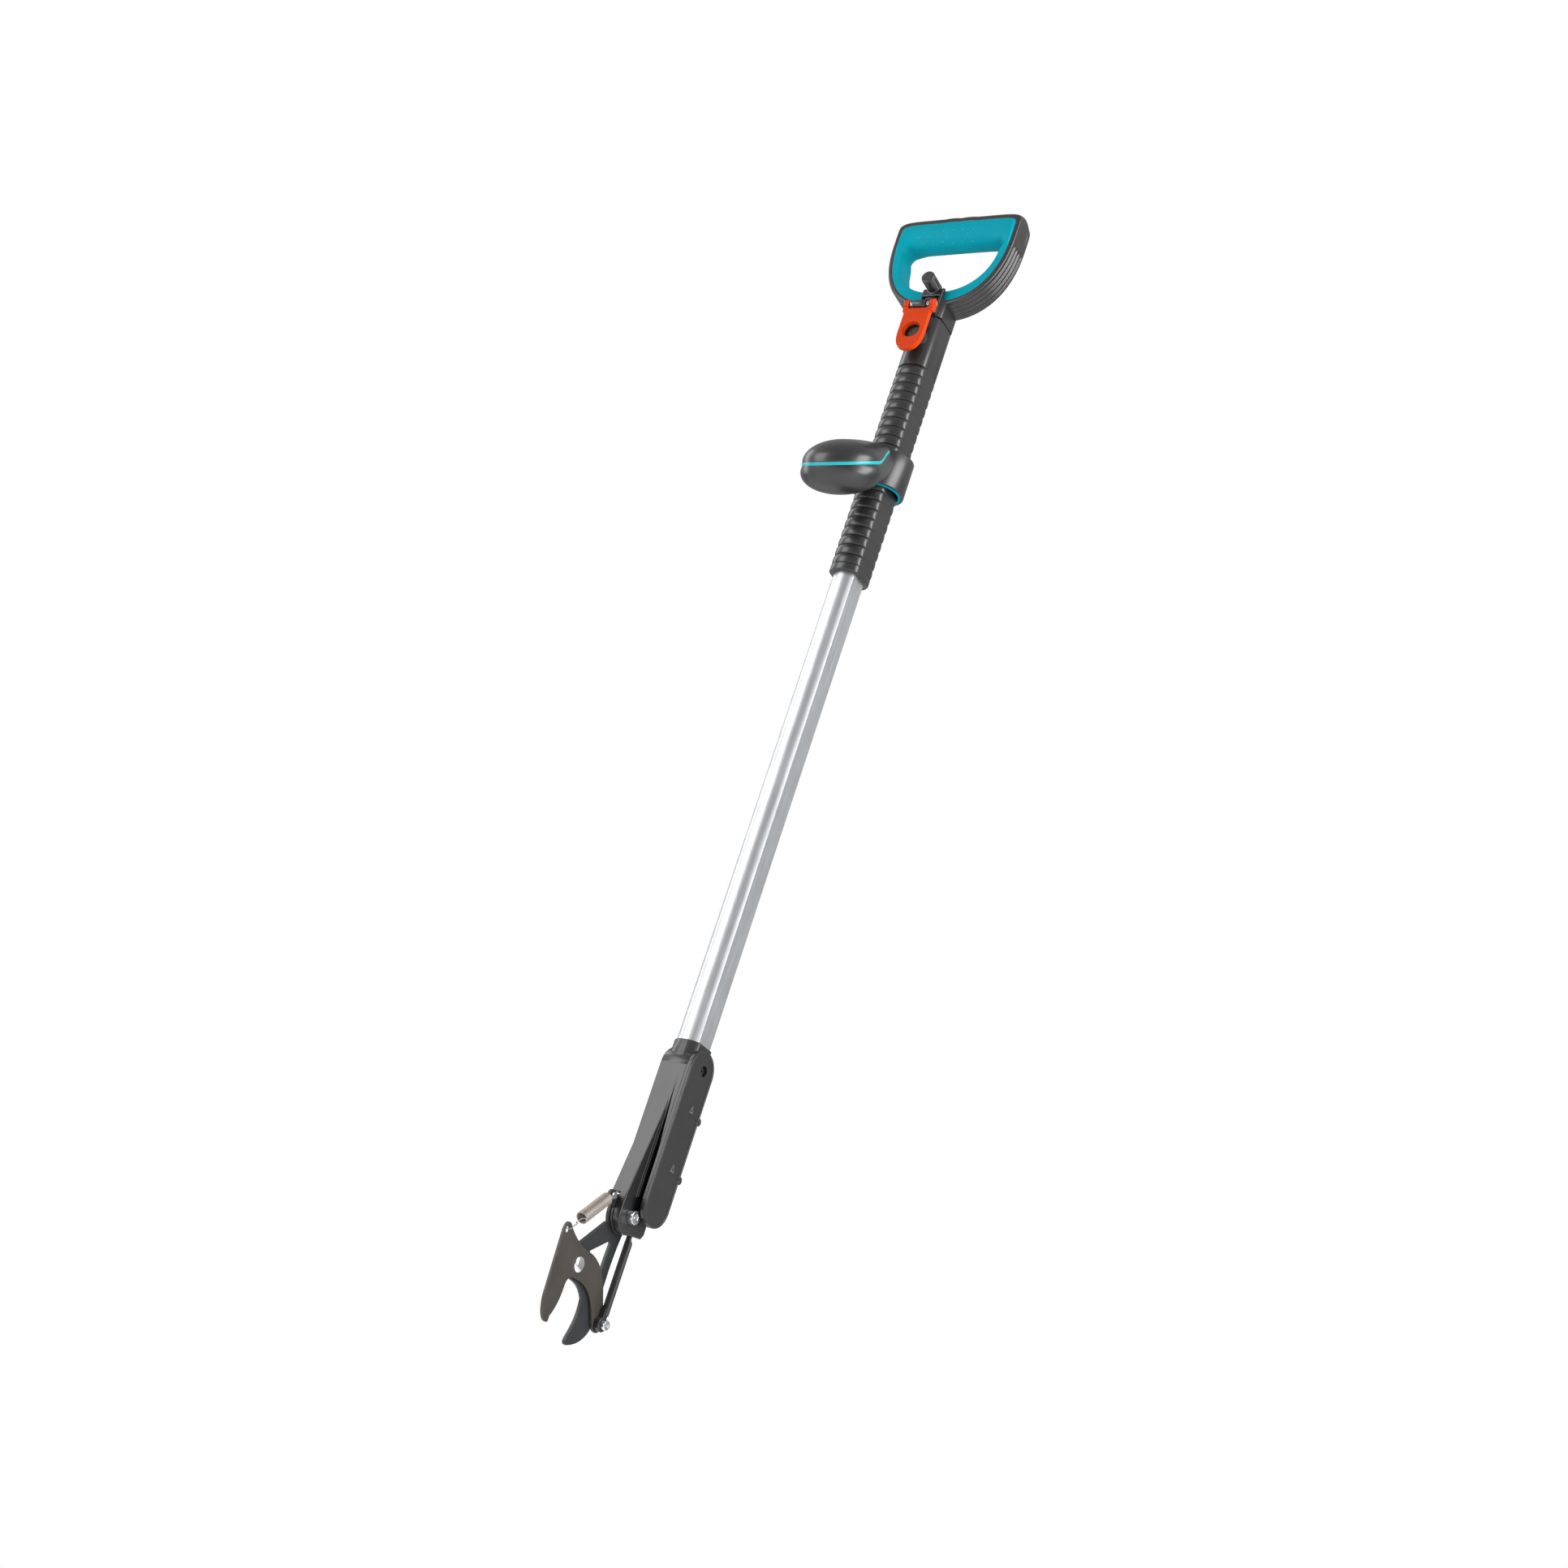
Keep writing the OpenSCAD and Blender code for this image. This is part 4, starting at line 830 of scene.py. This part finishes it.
# Upper strap: from the stem down round the pulley of the block and up again to its fixed end.
# The block rises by half of the handle's travel.
PULL_T = 1.6
PULL_CORNER = 0.4
PULL_STEPS = 24
PULLEY_R = 6.25
BIGHT_STEPS = 24
PIN_DROP = 1.0
TACKLE_TRAVEL = JOINTS["handle_pull"]["range_m"][1] / MM / 2.0
FOLLOW_SPARE = 8.0
FOLLOW_THINNER = 0.2


def build_upper_strap():
    low, high = box_mm("upper_strap")
    axle = joint_mm("pulley_spin")
    pin_z = np.mean(box_mm("strap_pin"), axis=0)[2]
    anchor_z = np.mean(box_mm("anchor_pin"), axis=0)[2]
    outer_r = PULLEY_R + PULL_T
    middle = PULLEY_R + PULL_T / 2.0
    live = axle[1] - middle
    dead = axle[1] + middle
    x_low = low[0]
    x_high = high[0]

    def straight_length(name, y, z_high, thick, body):
        """A straight length of the strap, up from the pulley's axle."""
        edge = thick / 2.0
        rings = [band_ring(x_low, x_high, y - edge, y + edge, z, PULL_CORNER)
                 for z in np.linspace(axle[2], z_high, PULL_STEPS)]
        return add_piece(name, *loft(rings), "strap_black", body, sharp=50.0)

    pulled = straight_length("strap_pulled", live, pin_z - PIN_DROP, PULL_T, "handle")
    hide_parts("upper_strap")
    follow_z = axle[2] + TACKLE_TRAVEL + FOLLOW_SPARE
    straight_length("strap_follow", live, follow_z, PULL_T - FOLLOW_THINNER, "tackle")
    fixed = straight_length("strap_fixed", dead, anchor_z - PIN_DROP, PULL_T, "pole")
    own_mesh(fixed)
    corners = ((x_low, PULLEY_R), (x_high, PULLEY_R), (x_high, outer_r), (x_low, outer_r))
    rings = []
    for turn in np.linspace(math.pi, FULL_TURN, BIGHT_STEPS + 1):
        rings.append([(x, axle[1] + r * math.cos(turn), axle[2] + r * math.sin(turn))
                      for x, r in corners])
    add_piece("strap_bight", *loft(rings), "strap_black", "tackle", sharp=50.0)


build_upper_strap()

# Rounded rim on the edge of the housing's cover: inset from its edge and depth below its face
COVER_RIM_PROFILE = ((0.3, 3.4), (-0.15, 2.4), (-0.12, 1.7), (0.10, 0.95), (0.55, 0.35), (1.15, 0.0),
                     (1.7, -0.05), (2.05, 0.1), (2.3, 0.55), (2.3, 1.2), (1.2, 3.4))
COVER_ARC = 48
COVER_HOOK = 5.4


def build_cover_rim():
    low, high = box_mm("housing_cover")
    cover_r = (high[1] - low[1] - COVER_HOOK) / 2.0
    middle_y = low[1] + cover_r
    rings = []
    for end, first in ((high[2] - cover_r, 0.0), (low[2] + cover_r, math.pi)):
        for turn in np.linspace(first, first + math.pi, COVER_ARC):
            ring = []
            for inset, depth in COVER_RIM_PROFILE:
                r = cover_r - inset
                ring.append((high[0] - depth, middle_y + r * math.cos(turn), end + r * math.sin(turn)))
            rings.append(ring)
    add_piece("cover_rim", *loft(rings, joined=True), "anthracite", "pole", sharp=60.0)


build_cover_rim()

# Two raised triangle frames on the cover, beside its hooks, in a lighter grey that is a painted highlight
MARK_DROPS = (58.0, 112.5)
MARK_SIZE = 7.0
MARK_CORNERS = ((0.0, 1.0), (-0.4, 0.0), (0.4, 0.0))
MARK_MIDDLE = 0.34
MARK_ASIDE = 3.0
MARK_LIFT = 2.0
MARK_FACE = 0.6
MARK_PROFILE = ((1.06, -0.1), (0.96, 0.85), (0.56, 0.85), (0.44, -0.1))


def build_cover_marks():
    low, high = box_mm("housing_cover")
    middle_y = low[1] + (high[1] - low[1] - COVER_HOOK) / 2.0 + MARK_ASIDE
    marks = []
    for drop in MARK_DROPS:
        foot = high[2] - drop + MARK_LIFT
        rings = []
        for y, z in MARK_CORNERS:
            rings.append([(high[0] - MARK_FACE + rise, middle_y + MARK_SIZE * share * y,
                           foot + MARK_SIZE * (MARK_MIDDLE + share * (z - MARK_MIDDLE)))
                          for share, rise in MARK_PROFILE])
        marks.append(loft(rings, joined=True))
    # The triangles are raised geometry; their lighter grey is a painted highlight where their edges catch
    # the light.
    add_piece("cover_marks", *merged(marks), "inner_plastic", "pole", sharp=20.0)


build_cover_marks()

# Edges of the solids that stay in view are rounded a little, each by its own width
EDGES = {
    "lock_hasp": 1.0, "lock_post": 1.3, "hasp_bracket": 0.6, "handle_stem": 0.6, "pod_ring": 0.9,
    "ring_liner": 0.3, "housing_body": 0.9, "housing_cover": 0.2, "hook_plate": 0.5,
    "cutting_blade": 0.4, "hub_disc": 0.4, "strap_eye": 0.4, "hub_screw": 0.4, "eye_screw": 0.4,
    "tube_screw": 0.3, "hub_knob": 0.4, "pivot_nut": 0.4,
}
WELD_GAP = 0.002
FLAT_ANGLE = math.radians(0.5)
EDGE_ANGLE = math.radians(35.0)
EDGE_SEGMENTS = 2


def round_edges(node, width):
    solid = frame["nodes"][node]
    weld = solid.modifiers.new("weld", "WELD")
    weld.merge_threshold = WELD_GAP * MM
    flat = solid.modifiers.new("flat", "DECIMATE")
    flat.decimate_type = "DISSOLVE"
    flat.angle_limit = FLAT_ANGLE
    bevel = solid.modifiers.new("round", "BEVEL")
    bevel.width = width * MM
    bevel.segments = EDGE_SEGMENTS
    bevel.limit_method = "ANGLE"
    bevel.angle_limit = EDGE_ANGLE
    bevel.harden_normals = True
    bevel.use_clamp_overlap = False


for node, width in EDGES.items():
    round_edges(node, width)

# Camera at the photograph's place: distance, turn, rise and roll of one fitted view
DISTANCE = 2.0414
TURN = math.radians(34.55)
RISE = math.radians(-21.93)
ROLL = math.radians(18.39)
SHIFT_X = -0.00338
LENS = 50.0
SENSOR = 36.0
FAR_END = 50.0


def build_camera():
    back = Vector((math.sin(TURN) * math.cos(RISE), -math.cos(TURN) * math.cos(RISE), math.sin(RISE)))
    level = Vector((math.cos(TURN), math.sin(TURN), 0.0))
    rise = back.cross(level)
    right = level * math.cos(ROLL) + rise * math.sin(ROLL)
    up = rise * math.cos(ROLL) - level * math.sin(ROLL)
    eye = back * DISTANCE - right * SHIFT_X
    data = bpy.data.cameras.new("camera")
    data.lens = LENS
    data.sensor_width = SENSOR
    data.clip_end = FAR_END
    camera = bpy.data.objects.new("camera", data)
    scene.collection.objects.link(camera)
    camera.matrix_world = Matrix((
        (right.x, up.x, back.x, eye.x),
        (right.y, up.y, back.y, eye.y),
        (right.z, up.z, back.z, eye.z),
        (0.0, 0.0, 0.0, 1.0)))
    scene.camera = camera


build_camera()

# Plain pale floor well below the hanging tool
FLOOR_Z = -1.20
FLOOR_HALF = 5.5
FLOOR_GLOW = 0.35
FLOOR_FINISH = dict(dark=(0.80, 0.80, 0.80), light=(0.83, 0.83, 0.83), rough=0.8, grain=40.0, bump=0.02)
WHITE = (1.0, 1.0, 1.0, 1.0)


def build_floor():
    mesh = bpy.data.meshes.new("floor")
    corners = [(x * FLOOR_HALF, y * FLOOR_HALF, FLOOR_Z) for x, y in ((-1, -1), (1, -1), (1, 1), (-1, 1))]
    mesh.from_pydata(corners, [], [(0, 1, 2, 3)])
    floor = bpy.data.objects.new("floor", mesh)
    scene.collection.objects.link(floor)
    finish = make("floor_pale", **FLOOR_FINISH)
    shader = surface_shader(finish)
    shader.inputs["Emission Color"].default_value = WHITE
    shader.inputs["Emission Strength"].default_value = FLOOR_GLOW
    mesh.materials.append(finish)


build_floor()

# Soft studio light: a white ground behind the object, a dimmer room, and three soft boxes
ROOM_STRENGTH = 0.50
ROOM_LOW = (0.45, 0.45, 0.46, 1.0)
ROOM_LOW_AT = 0.15
ROOM_HIGH_AT = 0.85
GROUND_STRENGTH = 1.0
LAMP_DISTANCE = 2.2
LAMP_AIM_Z = 0.15


def build_room():
    """A room that is darker below, with plain white where the camera sees it."""
    world = bpy.data.worlds.new("studio")
    scene.world = world
    world.use_nodes = True
    tree = world.node_tree
    room = next(node for node in tree.nodes if node.type == "BACKGROUND")
    out = next(node for node in tree.nodes if node.type == "OUTPUT_WORLD")
    room.inputs["Strength"].default_value = ROOM_STRENGTH
    coords = tree.nodes.new("ShaderNodeTexCoord")
    split = tree.nodes.new("ShaderNodeSeparateXYZ")
    lift = tree.nodes.new("ShaderNodeMapRange")
    lift.inputs["From Min"].default_value = -1.0
    lift.inputs["From Max"].default_value = 1.0
    shade = tree.nodes.new("ShaderNodeValToRGB")
    floor_end, sky_end = shade.color_ramp.elements
    floor_end.position = ROOM_LOW_AT
    floor_end.color = ROOM_LOW
    sky_end.position = ROOM_HIGH_AT
    sky_end.color = WHITE
    ground = tree.nodes.new("ShaderNodeBackground")
    ground.inputs["Color"].default_value = WHITE
    ground.inputs["Strength"].default_value = GROUND_STRENGTH
    seen = tree.nodes.new("ShaderNodeLightPath")
    choose = tree.nodes.new("ShaderNodeMixShader")
    tree.links.new(coords.outputs["Generated"], split.inputs["Vector"])
    tree.links.new(split.outputs["Z"], lift.inputs["Value"])
    tree.links.new(lift.outputs["Result"], shade.inputs["Fac"])
    tree.links.new(shade.outputs["Color"], room.inputs["Color"])
    tree.links.new(seen.outputs["Is Camera Ray"], choose.inputs["Fac"])
    tree.links.new(room.outputs["Background"], choose.inputs[1])
    tree.links.new(ground.outputs["Background"], choose.inputs[2])
    tree.links.new(choose.outputs["Shader"], out.inputs["Surface"])


def soft_box(name, bearing, height, wide, tall, power):
    """A tall soft box that faces the pole; its bearing counts from the front towards the right."""
    turn = math.radians(bearing)
    place = Vector((LAMP_DISTANCE * math.sin(turn), -LAMP_DISTANCE * math.cos(turn), height))
    data = bpy.data.lights.new(name, "AREA")
    data.shape = "RECTANGLE"
    data.size = wide
    data.size_y = tall
    data.energy = power
    lamp = bpy.data.objects.new(name, data)
    scene.collection.objects.link(lamp)
    lamp.location = place
    aim = Vector((0.0, 0.0, LAMP_AIM_Z)) - place
    lamp.rotation_euler = aim.to_track_quat("-Z", "Y").to_euler()


build_room()
soft_box("right_box", bearing=86.0, height=0.75, wide=1.4, tall=2.6, power=96.0)
soft_box("front_box", bearing=-35.0, height=0.45, wide=1.2, tall=2.1, power=36.0)
soft_box("left_box", bearing=-85.0, height=0.9, wide=0.6, tall=2.2, power=16.0)
scene.view_settings.view_transform = "Standard"
